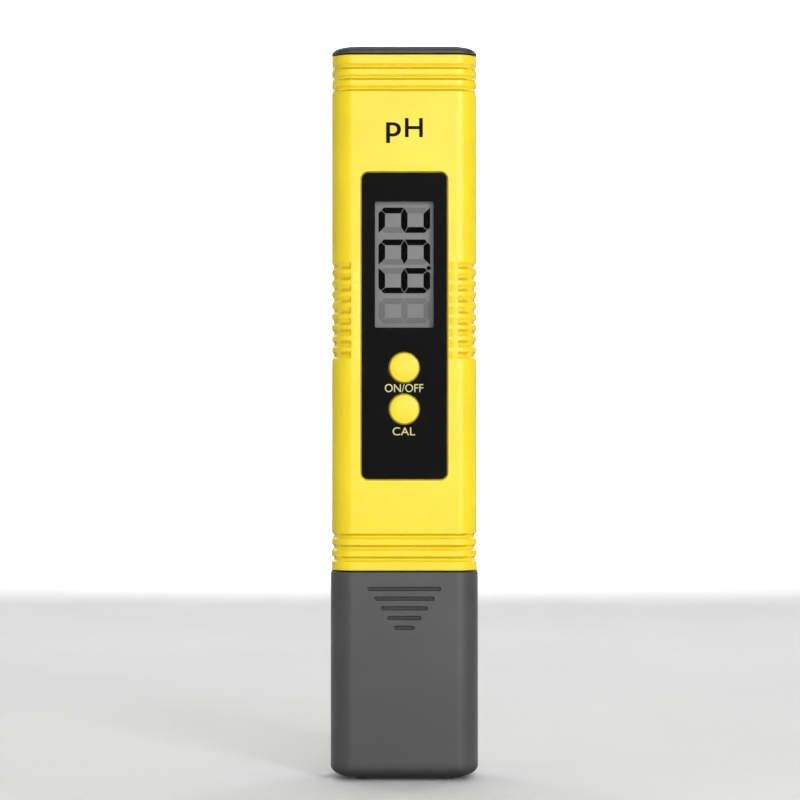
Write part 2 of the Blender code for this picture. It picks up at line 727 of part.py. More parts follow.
def tact_switch(prefix, height):
    """Switch on the board's front: a square body with a plunger sunk in its middle."""
    front = BOARD_FRONT - GAP - SWITCH_THICKNESS
    mesh = prism_mesh(prefix + "_switch", (SWITCH_SIZE, SWITCH_SIZE), front,
                      front + SWITCH_THICKNESS, 0.5, axis=1, centre=(0.0, height), steps=2)
    switch = add_part(prefix + "_switch", mesh, "inner_plastic")
    bore = cylinder_mesh(prefix + "_switch_bore", SWITCH_BORE, (0.0, front - 1.0, height),
                         (0.0, front + SWITCH_BORE_DEPTH, height), steps=20)
    cut(switch, add_tool(prefix + "_switch_bore", bore))
    plunger_front = -BUTTON_STEM_END + GAP
    plunger_back = front + 0.45
    chamfer = 0.2
    profile = [(0.0, -plunger_front), (PLUNGER_RADIUS - chamfer, -plunger_front),
               (PLUNGER_RADIUS, -plunger_front - chamfer), (PLUNGER_RADIUS, -plunger_back),
               (0.0, -plunger_back)]
    turned_part(prefix + "_plunger", profile, "white_plastic", (0.0, 0.0, height),
                faces_front=True, steps=20)


# ---------------------------------------------------------------- screws


def screw_part(name, place, head_radius, head_height, shank_radius, length, head_back):
    """A pan-head screw driven from the rear, with a cross recess in its head."""
    crown = 0.35 * head_height
    profile = [
        (0.0, -head_back), (head_radius * 0.75, -head_back),
        (head_radius, -head_back + crown), (head_radius, -head_back + head_height),
        (shank_radius, -head_back + head_height), (shank_radius, -head_back + length - 0.5),
        (shank_radius * 0.3, -head_back + length), (0.0, -head_back + length),
    ]
    profile.reverse()
    x, z = place
    screw = turned_part(name, profile, "steel", (x, 0.0, z), faces_front=True, steps=16)
    depth = head_height * 0.6
    arm = head_radius * 1.1
    for index, size in enumerate(((arm, CROSS_WIDTH), (CROSS_WIDTH, arm))):
        slot_name = f"{name}_slot_{index}"
        slot = prism_mesh(slot_name, size, head_back - depth, head_back + 1.0, 0.0, axis=1,
                          centre=place)
        cut(screw, add_tool(slot_name, slot))


def screws():
    board_head_back = BOARD_BACK + GAP + BOARD_HEAD_HEIGHT
    for name, place in BOARD_SCREWS.items():
        screw_part(name, place, BOARD_HEAD_RADIUS, BOARD_HEAD_HEIGHT, BOARD_SHANK_RADIUS,
                   BOARD_SCREW_LENGTH, board_head_back)
    case_head_back = CASE_HEAD_SEAT + GAP + CASE_HEAD_HEIGHT - 0.1
    for name, z in CASE_SCREWS.items():
        screw_part(name, (0.0, z), CASE_HEAD_RADIUS, CASE_HEAD_HEIGHT, CASE_SHANK_RADIUS,
                   CASE_SCREW_LENGTH, case_head_back)


# ---------------------------------------------------------------- electrode


def electrode_holder():
    """Plug that closes the case's lower end and holds the electrode."""
    mesh = prism_mesh("electrode_holder", (HOLDER_WIDTH, HOLDER_DEPTH), HOLDER_BOTTOM, HOLDER_TOP,
                      HOLDER_CORNER, steps=4, low_edge=0.5, edge_steps=2)
    holder = add_part("electrode_holder", mesh, "inner_plastic")
    reach = 2.0 * FLANGE_REACH
    flange = prism_mesh("holder_flange", (HOLDER_WIDTH + reach, HOLDER_DEPTH + reach),
                        FLANGE_BOTTOM, FLANGE_TOP, HOLDER_CORNER + FLANGE_REACH, steps=4)
    pockets = bmesh.new()
    for x in (-PROBE_X, PROBE_X):
        add_prism(pockets, POCKET_SIZE, POCKET_BOTTOM, HOLDER_TOP + 1.0, 1.0, centre=(x, 0.0),
                  steps=3)
    bore = cylinder_mesh("electrode_bore", TUBE_RADIUS + GAP, (0.0, 0.0, HOLDER_BOTTOM - 1.0),
                         (0.0, 0.0, HOLDER_TOP + 1.0), steps=32)
    probe_hole = cylinder_mesh("probe_hole", PROBE_RADIUS + GAP,
                               (PROBE_X, 0.0, HOLDER_BOTTOM - 1.0),
                               (PROBE_X, 0.0, POCKET_BOTTOM + 0.6), steps=16)
    inset = 2.0 * SEAL_INSET
    seal_path = ring_points(HOLDER_WIDTH - inset, HOLDER_DEPTH - inset,
                            HOLDER_CORNER - SEAL_INSET, CAP_SEAL_Z, steps=4)
    groove = tube_mesh("cap_seal_groove", seal_path, SEAL_RADIUS + 0.15, closed=True, sides=8)
    join(holder, add_tool("holder_flange", flange))
    cut(holder, add_tool("holder_pockets", to_mesh("holder_pockets", pockets)),
        add_tool("electrode_bore", bore), add_tool("probe_hole", probe_hole),
        add_tool("cap_seal_groove", groove))
    add_part("cap_seal", tube_mesh("cap_seal", seal_path, SEAL_RADIUS, closed=True, sides=8),
             "seal_rubber")


def electrode_tube():
    """Round sleeve round the glass electrode, cut into guard fingers at its open end."""
    edge = 0.5
    profile = [(TUBE_BORE, TUBE_TOP), (TUBE_RADIUS, TUBE_TOP),
               *arc((TUBE_RADIUS - edge, TUBE_BOTTOM + edge), edge, 0.0, -90.0, 3),
               (TUBE_BORE, TUBE_BOTTOM)]
    tube = turned_part("electrode_tube", profile, "inner_plastic", steps=32, closed=True)
    for index, size in enumerate(((GUARD_SLOT, 12.0), (12.0, GUARD_SLOT))):
        name = f"guard_slot_{index}"
        slot = prism_mesh(name, size, TUBE_BOTTOM - 1.0, GUARD_SLOT_TOP, 0.0)
        cut(tube, add_tool(name, slot))


def glass_electrode():
    """Hollow glass stem, open at its top, that ends in the thin sensing bulb."""
    neck = math.degrees(math.asin(STEM_RADIUS / BULB_RADIUS))
    inner_stem = STEM_RADIUS - GLASS_WALL
    inner_bulb = BULB_RADIUS - GLASS_WALL
    inner_neck = math.degrees(math.asin(inner_stem / inner_bulb))
    outside = arc((0.0, BULB_Z), BULB_RADIUS, 90.0 - neck, -90.0, 7)
    inside = arc((0.0, BULB_Z), inner_bulb, -90.0, 90.0 - inner_neck, 6)
    outside[-1] = (0.0, BULB_Z - BULB_RADIUS)
    inside[0] = (0.0, BULB_Z - inner_bulb)
    profile = [*inside, (inner_stem, STEM_TOP), (STEM_RADIUS, STEM_TOP), *outside]
    turned_part("glass_electrode", profile, "bulb_glass", steps=20)


def electrode_inside():
    """What the sleeve holds: junction ring, seal, two wires and the plug that closes it."""
    ring_outer = TUBE_BORE - 0.15
    ring_inner = STEM_RADIUS + 0.15
    for name, low, high, material in (
        ("reference_junction", JUNCTION_BOTTOM, JUNCTION_TOP, "porous_ceramic"),
        ("stem_seal", STEM_SEAL_BOTTOM, STEM_SEAL_TOP, "seal_rubber"),
    ):
        profile = [(ring_inner, high), (ring_outer, high), (ring_outer, low), (ring_inner, low)]
        turned_part(name, profile, material, steps=24, closed=True)

    mesh = cylinder_mesh("electrode_plug", ring_outer, (0.0, 0.0, PLUG_BOTTOM),
                         (0.0, 0.0, TUBE_TOP - 0.2))
    plug = add_part("electrode_plug", mesh, "epoxy")
    wires = (
        ("inner_electrode_wire", 0.0, BULB_Z - 0.8),
        ("reference_wire", REFERENCE_X, REFERENCE_BOTTOM),
    )
    holes = bmesh.new()
    for name, x, low in wires:
        wire = cylinder_mesh(name, WIRE_RADIUS, (x, 0.0, low), (x, 0.0, TUBE_TOP), steps=12)
        add_part(name, wire, "silver")
        add_cylinder(holes, WIRE_RADIUS + 0.15, (x, 0.0, PLUG_BOTTOM - 1.0),
                     (x, 0.0, TUBE_TOP + 1.0), steps=12)
    cut(plug, add_tool("plug_holes", to_mesh("plug_holes", holes)))


def temperature_probe():
    """Stainless sleeve with a domed end, beside the electrode."""
    dome = arc((0.0, PROBE_BOTTOM + PROBE_RADIUS), PROBE_RADIUS, 0.0, -90.0, 5)
    dome[-1] = (0.0, PROBE_BOTTOM)
    profile = [(0.0, PROBE_TOP), (PROBE_RADIUS, PROBE_TOP), *dome]
    turned_part("temperature_probe", profile, "steel", (PROBE_X, 0.0, 0.0), steps=20)


def signal_leads():
    """Thin insulated leads from the electrode and the probe up to the board."""
    start = TUBE_TOP + GAP
    end = BOARD_BOTTOM + 3.0
    behind = BOARD_BACK + GAP + LEAD_RADIUS + 0.1
    routes = {
        "electrode_lead": ("red_wire", [
            (0.0, 0.0, start), (-0.9, 0.0, start + 1.3), (-3.1, 0.0, start + 2.9),
            (-4.4, 0.0, start + 5.6), (-4.8, behind, BOARD_BOTTOM - 1.0), (-4.8, behind, end),
        ]),
        "reference_lead": ("black_wire", [
            (REFERENCE_X, 0.0, start), (3.3, 0.0, start + 2.4), (4.4, 0.0, start + 5.6),
            (4.8, behind, BOARD_BOTTOM - 1.0), (4.8, behind, end),
        ]),
        "temperature_lead": ("white_wire", [
            (PROBE_X, 0.0, PROBE_TOP + GAP), (PROBE_X, 0.0, HOLDER_TOP), (8.6, 0.0, 59.5),
            (8.2, behind, BOARD_BOTTOM - 1.0), (8.2, behind, end),
        ]),
    }
    for name, (material, points) in routes.items():
        lead = tube_mesh(name, smooth_route(points), LEAD_RADIUS, sides=6)
        add_part(name, lead, material)


# ---------------------------------------------------------------- batteries and their lid


def battery_tray():
    """Tray with a round pocket for each cell and a neck that fixes it under the lid."""
    depth = TRAY_BACK - TRAY_FRONT
    middle = (TRAY_BACK + TRAY_FRONT) / 2.0
    mesh = prism_mesh("battery_tray", (TRAY_WIDTH, depth), TRAY_BOTTOM, TRAY_TOP, 2.2,
                      centre=(0.0, middle), steps=5)
    tray = add_part("battery_tray", mesh, "inner_plastic")
    neck = prism_mesh("tray_neck", TRAY_NECK, TRAY_TOP - 0.5, LID_BOTTOM - GAP, 0.8,
                      centre=(0.0, -0.5), steps=3)
    pockets = bmesh.new()
    for x in (-CELL_X, CELL_X):
        add_cylinder(pockets, CELL_RADIUS + GAP, (x, CELL_FRONT - 0.9, CELL_Z),
                     (x, TRAY_BACK + 1.0, CELL_Z), steps=28)
    slot = prism_mesh("bridge_slot", BRIDGE_SLOT, CELL_FRONT - 0.9, CELL_FRONT, 0.0, axis=1,
                      centre=(0.0, CELL_Z))
    join(tray, add_tool("tray_neck", neck))
    cut(tray, add_tool("tray_pockets", to_mesh("tray_pockets", pockets)),
        add_tool("bridge_slot", slot))

    bridge = prism_mesh("battery_bridge", BRIDGE_SIZE, CELL_FRONT - 0.6, CELL_FRONT - GAP, 0.8,
                        axis=1, centre=(0.0, CELL_Z), steps=3)
    add_part("battery_bridge", bridge, "spring_metal")


def button_cell(name, x):
    """Button cell: a can with a rolled edge and a smaller face on its other side."""
    front = -CELL_FRONT
    back = front - CELL_THICKNESS
    edge = 0.5
    profile = [
        (0.0, front), (CELL_RADIUS - 1.1, front), (CELL_RADIUS - 1.0, front - 0.5),
        *arc((CELL_RADIUS - edge, front - 0.6 - edge), edge, 70.0, 0.0, 2),
        *arc((CELL_RADIUS - edge, back + edge), edge, 0.0, -90.0, 2), (0.0, back),
    ]
    turned_part(name, profile, "steel", (x, 0.0, CELL_Z), faces_front=True, steps=28)


def battery_contact(name, x):
    """Bent metal strip from the board's rear up behind a cell."""
    half = CONTACT_THICKNESS / 2.0
    board = BOARD_BACK + GAP + half
    cell = CELL_FRONT + CELL_THICKNESS + GAP + half
    line = [(board, CONTACT_ENDS[0]), (board, CONTACT_BENDS[0]), (cell, CONTACT_BENDS[1]),
            (cell, CONTACT_ENDS[1])]
    normals = []
    for before, after in zip(line, line[1:]):
        along = Vector((after[0] - before[0], after[1] - before[1])).normalized()
        normals.append(Vector((along.y, -along.x)))
    corners = [normals[0]]
    for first, second in zip(normals, normals[1:]):
        mitre = (first + second).normalized()
        corners.append(mitre / mitre.dot(first))
    corners.append(normals[-1])
    left = [Vector(p) + n * half for p, n in zip(line, corners)]
    right = [Vector(p) - n * half for p, n in zip(line, corners)]
    shape = bmesh.new()
    near = x - CONTACT_WIDTH / 2.0
    outline = [shape.verts.new((near, p.x, p.y)) for p in left + right[::-1]]
    face = shape.faces.new(outline)
    side = bmesh.ops.extrude_face_region(shape, geom=[face])
    moved = [item for item in side["geom"] if isinstance(item, bmesh.types.BMVert)]
    bmesh.ops.translate(shape, vec=(CONTACT_WIDTH, 0.0, 0.0), verts=moved)
    add_part(name, to_mesh(name, shape), "spring_metal")


def battery_lid():
    """Grey lid at the top, with a skirt that plugs into the case and carries a seal."""
    mesh = prism_mesh("battery_lid", (CASE_WIDTH, CASE_DEPTH), LID_BOTTOM, LENGTH, CASE_CORNER,
                      low_edge=0.15, high_edge=LID_EDGE, edge_steps=4)
    draw_in(mesh, LENGTH - LID_EDGE, LENGTH, (CASE_WIDTH, CASE_DEPTH), LID_REACH)
    lid = add_part("battery_lid", mesh, "lid_plastic")
    skirt = prism_mesh("lid_skirt", (HOLDER_WIDTH, HOLDER_DEPTH), LID_SKIRT_BOTTOM,
                       LID_BOTTOM + 0.4, HOLDER_CORNER, steps=4)
    hollow = prism_mesh("lid_hollow", (HOLDER_WIDTH - 4.0, HOLDER_DEPTH - 4.0),
                        LID_SKIRT_BOTTOM - 1.0, LID_BOTTOM, 1.0, steps=3)
    inset = 2.0 * SEAL_INSET
    path = ring_points(HOLDER_WIDTH - inset, HOLDER_DEPTH - inset, HOLDER_CORNER - SEAL_INSET,
                       LID_SEAL_Z, steps=4)
    groove = tube_mesh("lid_seal_groove", path, SEAL_RADIUS + 0.15, closed=True, sides=8)
    join(lid, add_tool("lid_skirt", skirt))
    cut(lid, add_tool("lid_hollow", hollow), add_tool("lid_seal_groove", groove))
    add_part("lid_seal", tube_mesh("lid_seal", path, SEAL_RADIUS, closed=True, sides=8),
             "seal_rubber")


# ---------------------------------------------------------------- protective cap


def protective_cap():
    """Grey cap on a small flat foot, with an upside-down triangle of grip lines."""
    mesh = prism_mesh("protective_cap", (CAP_WIDTH, CAP_DEPTH), FOOT_HEIGHT, CAP_TOP, CAP_CORNER,
                      low_edge=CAP_HEEL, high_edge=0.25, edge_steps=5)
    draw_in(mesh, FOOT_HEIGHT + CAP_HEEL, FOOT_HEIGHT, (CAP_WIDTH, CAP_DEPTH), HEEL_REACH)
    cap = add_part("protective_cap", mesh, "cap_plastic")
    foot = prism_mesh("cap_foot", (FOOT_WIDTH, FOOT_DEPTH), 0.0, FOOT_HEIGHT + 0.4, 3.0, steps=6)
    well = prism_mesh("cap_well", (INNER_WIDTH, INNER_DEPTH), CAP_FLOOR, CAP_TOP + 1.0,
                      INNER_CORNER)
    lines = bmesh.new()
    face = CAP_DEPTH / 2.0
    for low, high in ((-face - 1.0, -face + CAP_LINE_DEPTH), (face - CAP_LINE_DEPTH, face + 1.0)):
        for index, width in enumerate(CAP_LINE_WIDTHS):
            height = CAP_LINE_TOP - CAP_LINE_PITCH * index
            add_prism(lines, (width, CAP_LINE_HEIGHT), low, high, CAP_LINE_HEIGHT / 2.0 - 0.02,
                      axis=1, centre=(0.0, height), steps=3)
    join(cap, add_tool("cap_foot", foot))
    cut(cap, add_tool("cap_well", well), add_tool("cap_lines", to_mesh("cap_lines", lines)))


def storage_sponge():
    """Soft block in the bottom of the cap that keeps the glass bulb moist."""
    low = CAP_FLOOR + GAP
    mesh = prism_mesh("storage_sponge", (INNER_WIDTH - 1.0, INNER_DEPTH - 1.0), low,
                      low + SPONGE_HEIGHT, 2.4, steps=4, high_edge=0.4, edge_steps=2)
    add_part("storage_sponge", mesh, "sponge")


# ---------------------------------------------------------------- assembly


def build():
    protective_cap()
    storage_sponge()
    grooves = ring_groove_cutter()
    grips = grip_cutter()
    front_shell(grooves, grips)
    rear_shell(grooves, grips)
    rear_label()
    face_panel()
    display_window()
    push_button("power_button", POWER_BUTTON_Z)
    push_button("cal_button", CAL_BUTTON_Z)
    display_parts()
    main_board()
    board_components()
    tact_switch("power", POWER_BUTTON_Z)
    tact_switch("cal", CAL_BUTTON_Z)
    screws()
    electrode_holder()
    electrode_tube()
    glass_electrode()
    electrode_inside()
    temperature_probe()
    signal_leads()
    battery_tray()
    button_cell("battery_cell_left", -CELL_X)
    button_cell("battery_cell_right", CELL_X)
    battery_contact("battery_contact_left", -CONTACT_X)
    battery_contact("battery_contact_right", CONTACT_X)
    battery_lid()


build()
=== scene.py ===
"""Looks of a pocket pH meter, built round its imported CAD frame.

Lengths are millimetres in the frame's own axes: +Z is up and the display faces -Y.
They become metres where a shape turns into a piece.
"""

import math

import bmesh
import bpy
from mathutils import Matrix, Vector, noise


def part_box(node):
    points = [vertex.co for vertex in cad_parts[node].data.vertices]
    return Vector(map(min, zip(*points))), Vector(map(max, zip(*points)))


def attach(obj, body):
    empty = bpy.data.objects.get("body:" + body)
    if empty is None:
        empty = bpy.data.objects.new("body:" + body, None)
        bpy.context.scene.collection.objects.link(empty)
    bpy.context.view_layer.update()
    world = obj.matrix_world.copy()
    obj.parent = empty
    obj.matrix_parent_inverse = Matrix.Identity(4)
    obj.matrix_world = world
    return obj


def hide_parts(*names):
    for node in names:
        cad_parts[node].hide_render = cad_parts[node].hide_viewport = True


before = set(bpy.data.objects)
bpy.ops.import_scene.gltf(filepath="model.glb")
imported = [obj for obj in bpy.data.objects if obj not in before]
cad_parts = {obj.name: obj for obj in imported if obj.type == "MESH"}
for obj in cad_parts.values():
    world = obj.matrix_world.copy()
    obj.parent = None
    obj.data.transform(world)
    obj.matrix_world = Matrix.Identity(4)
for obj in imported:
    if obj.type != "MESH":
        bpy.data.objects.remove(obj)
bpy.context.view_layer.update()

MM = 0.001


def span(node):
    """Lowest and highest corner of a CAD node at rest, in millimetres."""
    low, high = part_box(node)
    return tuple(Vector([round(value / MM, 3) for value in corner]) for corner in (low, high))


def front_size(low, high):
    """Width and height of a box, seen from the front."""
    return high.x - low.x, high.z - low.z


def front_centre(low, high):
    return (low.x + high.x) / 2.0, (low.z + high.z) / 2.0


def grown(size, gap):
    return tuple(length + 2.0 * gap for length in size)


# ---------------------------------------------------------------- sizes from the frame

SHELL_LOW, SHELL_HIGH = span("front_shell")
CASE_WIDTH = SHELL_HIGH.x - SHELL_LOW.x
CASE_DEPTH = -2.0 * SHELL_LOW.y
CASE_BOTTOM = SHELL_LOW.z
CASE_TOP = SHELL_HIGH.z
CASE_FACE = CASE_DEPTH / 2.0         # distance of the front and rear faces from the middle plane
SEAM_HALF = -SHELL_HIGH.y            # half the gap of the parting line
CAP_LOW, CAP_HIGH = span("protective_cap")
LID_LOW, LID_HIGH = span("battery_lid")
PANEL_LOW, PANEL_HIGH = span("face_panel")
WINDOW_LOW, WINDOW_HIGH = span("display_window")
GLASS_LOW, GLASS_HIGH = span("display_glass")
LABEL_LOW, LABEL_HIGH = span("rear_label")
HOLDER_LOW, HOLDER_HIGH = span("electrode_holder")
TUBE_LOW, TUBE_HIGH = span("electrode_tube")
STEM_LOW, STEM_HIGH = span("glass_electrode")
PROBE_LOW, PROBE_HIGH = span("temperature_probe")
PROBE_X = (PROBE_LOW.x + PROBE_HIGH.x) / 2.0
PROBE_RADIUS = (PROBE_HIGH.x - PROBE_LOW.x) / 2.0
SPONGE_LOW, SPONGE_HIGH = span("storage_sponge")
TRAY_BOTTOM = span("battery_tray")[0].z

# ---------------------------------------------------------------- sizes of the finish

CASE_CORNER = 4.5
CASE_RIM = 0.25                      # rounding of the case's two open ends
WALL = 1.6
RING_HEIGHTS = (46.73, 49.12, 51.51, 145.95, 148.28, 150.60)
RING_HALF = 0.64                     # half the height of a ring groove
RING_DEPTH = 0.52
GRIP_COUNT = 9
GRIP_CENTRE = 99.1
GRIP_PITCH = 2.36
GRIP_HALF = 0.88
GRIP_FLOOR = 0.20                    # half the height of a grip's flat floor
GRIP_DEPTH = 0.44
GRIP_REACH = 11.2                   # the grips fade in over this distance from the middle plane
GRIP_FADE = 0.35
RING_SHADE = 0.25                    # how much of the painted groove shade the rings take
# grooves above this height take painted shade on their lower wall, those below it on their upper wall
WALL_SHADE_MIDDLE = 95.0
# strength of the painted shade on the grips' walls
GRIP_WALL_SHADE = 0.80
SEAM_ROUND = 0.25
LIP_THICKNESS = 0.12
LIP_HALF = 0.8                       # how far a lip reaches to either side of the parting line
PANEL_CORNER = 1.35
PANEL_RECESS = 1.1
PANEL_PLAY = 0.25
DISPLAY_Z = (WINDOW_LOW.z + WINDOW_HIGH.z) / 2.0
WINDOW_WIDTH = 12.37
WINDOW_HEIGHT = 26.65
BUTTON_RADIUS = 3.14
BUTTON_PLAY = 0.22
BUTTON_FLANGE = 3.95
BUTTON_NECK = 0.45                   # how far down the gap a button reaches before it takes painted shade
GAP = 0.3
CAP_CORNER = 4.7
CAP_HEEL = 2.4
CAP_FLOOR = 3.0
HEEL_REACH = (4.7, 3.1)              # how far the heel draws the cap in, across and in depth
FOOT_SIZE = (21.2, 9.0)
FOOT_HEIGHT = 0.57
CAP_LINE_TOP = 40.5
CAP_LINE_PITCH = 2.04
CAP_LINE_WIDTHS = (15.35, 12.6, 9.8, 7.05, 4.3)
CAP_LINE_HEIGHT = 0.8
CAP_LINE_DEPTH = 0.4
CAP_LINE_SHADE = 0.52
HEEL_SHADE = 0.95
CASE_SCREW_PLACES = ((0.0, 132.6), (0.0, 60.2))
BOARD_SCREW_PLACES = ((-9.6, 127.0), (9.6, 127.0), (0.0, 67.5))
CASE_SCREW = (1.9, 1.2, 0.95)        # radius and height of the head, radius of the shank
BOARD_SCREW = (1.6, 0.9, 0.7)
CASE_POST = 2.8
REAR_POST = 3.0
BOARD_POST = 1.9
CASE_BORE = 1.2
BOARD_BORE = 0.95
BOARD_FRONT = 2.0                    # distance of the board's front side from the middle plane
SCREW_SEAT = 6.3
LID_EDGE = 1.3
LID_REACH = (3.4, 1.7)               # how far the lid's top rim draws it in, across and in depth

HOLDER_SIZE = (27.0, 11.8)           # the holder's plug, and the lid's skirt
HOLDER_CORNER = 2.6
HOLDER_FLANGE = (53.4, 54.8)         # the flange that the case halves clasp, from and to
FLANGE_SIZE = (HOLDER_HIGH.x * 2.0, HOLDER_HIGH.y * 2.0)
FLANGE_CORNER = 3.2
SEAL_RADIUS = 0.45
SEAL_GROOVE = 0.6
SEAL_INSET = 0.25
POCKET_SIZE = (5.8, 8.8)
POCKET_X = 9.2
POCKET_FLOOR = 39.4
INNER_SIZE = (CASE_WIDTH - 2.0 * WALL, CASE_DEPTH - 2.0 * WALL)
INNER_CORNER = CASE_CORNER - WALL
INNER_FACE = CASE_FACE - WALL

QUARTERS = ((1.0, 1.0), (-1.0, 1.0), (-1.0, -1.0), (1.0, -1.0))


# ---------------------------------------------------------------- outlines and lofts


def even_turns(steps):
    return [90.0 * i / steps for i in range(steps + 1)]


def rounded(width, depth, corner, turns=None):
    """Places and outward directions round a rectangle with rounded corners, anticlockwise.

    turns are angles from the long faces' direction towards the narrow sides.
    """
    turns = turns or even_turns(10)
    x = width / 2.0 - corner
    y = depth / 2.0 - corner
    outline = []
    for side_x, side_y in QUARTERS:
        order = turns if side_x * side_y < 0 else turns[::-1]
        for turn in order:
            angle = math.radians(turn)
            out = Vector((side_x * math.sin(angle), side_y * math.cos(angle)))
            outline.append((Vector((side_x * x, side_y * y)) + out * corner, out))
    return outline


def circle(radius, steps=64):
    """Places and outward directions round a circle."""
    outline = []
    for i in range(steps):
        angle = 2.0 * math.pi * i / steps
        out = Vector((math.cos(angle), math.sin(angle)))
        outline.append((out * radius, out))
    return outline


def placed(across, along, level, facing):
    """A point of an outline at a level: levels rise up, to the front or to the rear."""
    if facing == "up":
        return Vector((across, along, level))
    if facing == "front":
        return Vector((across, -level, along))
    return Vector((-across, level, along))


def skin(shape, rings, closed=False):
    """Join rings of points into one closed body, with flat ends unless it is closed."""
    rows = [[shape.verts.new(point) for point in ring] for ring in rings]
    pairs = list(zip(rows, rows[1:]))
    if closed:
        pairs.append((rows[-1], rows[0]))
    for lower, upper in pairs:
        for i in range(len(lower)):
            j = (i + 1) % len(lower)
            shape.faces.new((lower[i], lower[j], upper[j], upper[i]))
    if not closed:
        shape.faces.new(rows[0][::-1])
        shape.faces.new(rows[-1])


def loft(outline, levels, facing="up", centre=(0.0, 0.0), closed=False, shape=None):
    """A body from an outline grown outwards at each of its (level, growth) pairs."""
    made = bmesh.new()
    rings = []
    for level, growth in levels:
        ring = []
        for place, out in outline:
            spot = place + out * growth
            ring.append(placed(spot.x + centre[0], spot.y + centre[1], level, facing))
        rings.append(ring)
    skin(made, rings, closed)
    bmesh.ops.remove_doubles(made, verts=made.verts, dist=0.0005)
    bmesh.ops.recalc_face_normals(made, faces=made.faces)
    if shape is None:
        return made
    merge(shape, made)
    return shape


def merge(shape, other):
    """Add another bmesh to a shape."""
    mesh = bpy.data.meshes.new("merge")
    other.to_mesh(mesh)
    other.free()
    shape.from_mesh(mesh)
    bpy.data.meshes.remove(mesh)


def rise(level, radius, steps=5):
    """Levels that round the lower rim of a body with a quarter circle."""
    angles = [math.radians(90.0 * i / steps) for i in range(steps + 1)]
    return [(level + radius * (1.0 - math.cos(a)), -radius * (1.0 - math.sin(a))) for a in angles]


def fall(level, radius, steps=5):
    """The same for the upper rim."""
    return [(2.0 * level - height, growth) for height, growth in rise(level, radius, steps)][::-1]


def draw_in(shape, start, end, size, reach):
    """Widen a round rim, from the level start to the level end, into an elliptical one."""
    for vert in shape.verts:
        climb = (vert.co.z - start) / (end - start)
        if climb <= 0.0:
            continue
        share = 1.0 - math.sqrt(max(0.0, 1.0 - climb * climb))
        for axis in (0, 1):
            half = size[axis] / 2.0
            vert.co[axis] *= (half - reach[axis] * share) / (half - abs(end - start) * share)


def soft_plate(size, corner, low, high, low_edge, high_edge, steps=5, **options):
    """A plate or bar with rounded corners and rounded rims."""
    outline = rounded(*size, corner)
    return loft(outline, rise(low, low_edge, steps) + fall(high, high_edge, steps), **options)


def turned(profile, steps=64, **options):
    """A body turned about a line, from (radius, level) pairs."""
    levels = [(level, radius) for radius, level in profile]
    return loft(circle(0.0, steps), levels, **options)


def arc(centre, radius, start, end, steps):
    """Points on an arc, from the start angle to the end angle in degrees."""
    angles = [math.radians(start + (end - start) * i / steps) for i in range(steps + 1)]
    return [(centre[0] + radius * math.cos(a), centre[1] + radius * math.sin(a)) for a in angles]


def ring_seal(node, radius):
    """The round soft ring of a node, or its groove, round the holder's or the skirt's outline."""
    low, high = span(node)
    level = (low.z + high.z) / 2.0
    outline = rounded(*grown(HOLDER_SIZE, -SEAL_INSET), HOLDER_CORNER - SEAL_INSET)
    levels = [(level + y, x) for x, y in arc((0.0, 0.0), radius, 0.0, 345.0, 23)]
    return loft(outline, levels, closed=True)


def sink(outline, bottom, face, lip, facing, centre, shape=None, floor=0.0):
    """A cutter from a bottom out through a face, whose lip it leaves rounded."""
    levels = rise(bottom, floor, 4) if floor else [(bottom, 0.0)]
    for degrees in (0.0, 18.0, 36.0, 54.0, 72.0, 85.0):
        angle = math.radians(degrees)
        levels.append((face - lip * (1.0 - math.sin(angle)), lip * (1.0 - math.cos(angle))))
    levels += [(face + 0.01, lip), (face + 1.5, lip)]
    return loft(outline, levels, facing=facing, centre=centre, shape=shape)


# ---------------------------------------------------------------- pieces


def work_object(shape):
    mesh = bpy.data.meshes.new("work")
    shape.to_mesh(mesh)
    shape.free()
    thing = bpy.data.objects.new("work", mesh)
    bpy.context.scene.collection.objects.link(thing)
    return thing


def combined(shape, tool, operation="DIFFERENCE"):
    """The shape with the tool cut from it or joined on. Both are used up."""
    body = work_object(shape)
    cutter = work_object(tool)
    modifier = body.modifiers.new("combine", "BOOLEAN")
    modifier.operation = operation
    modifier.solver = "MANIFOLD"
    modifier.object = cutter
    evaluated = body.evaluated_get(bpy.context.evaluated_depsgraph_get())
    result = bmesh.new()
    result.from_mesh(evaluated.to_mesh())
    evaluated.to_mesh_clear()
    for thing in (body, cutter):
        mesh = thing.data
        bpy.data.objects.remove(thing)
        bpy.data.meshes.remove(mesh)
    bmesh.ops.remove_doubles(result, verts=result.verts, dist=0.0005)
    return result


def add_piece(name, shape, material, body, node=None, slot=None, sharp=38.0, **painted_shade_masks):
    """Turn a bmesh in millimetres into a finished piece that rides on a body.

    The slot argument is not used.
    The keyword arguments name functions that tell, for a place on the surface, how much painted shade it
    takes in a groove, a gap or on the cap's heel, and how much more on a groove's wall, each from 0 to 1.
    """
    for kind, amount in painted_shade_masks.items():
        layer = shape.verts.layers.float.new(kind)
        for vert in shape.verts:
            vert[layer] = amount(vert.co)
    bmesh.ops.scale(shape, vec=(MM, MM, MM), verts=shape.verts)
    mesh = bpy.data.meshes.new(name)
    shape.to_mesh(mesh)
    shape.free()
    mesh.materials.append(material)
    mesh.shade_smooth()
    mesh.set_sharp_from_angle(angle=math.radians(sharp))
    piece = bpy.data.objects.new(name, mesh)
    bpy.context.scene.collection.objects.link(piece)
    weighted = piece.modifiers.new("even_shading", "WEIGHTED_NORMAL")
    weighted.keep_sharp = True
    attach(piece, body)
    if node:
        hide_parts(node)


# ---------------------------------------------------------------- materials


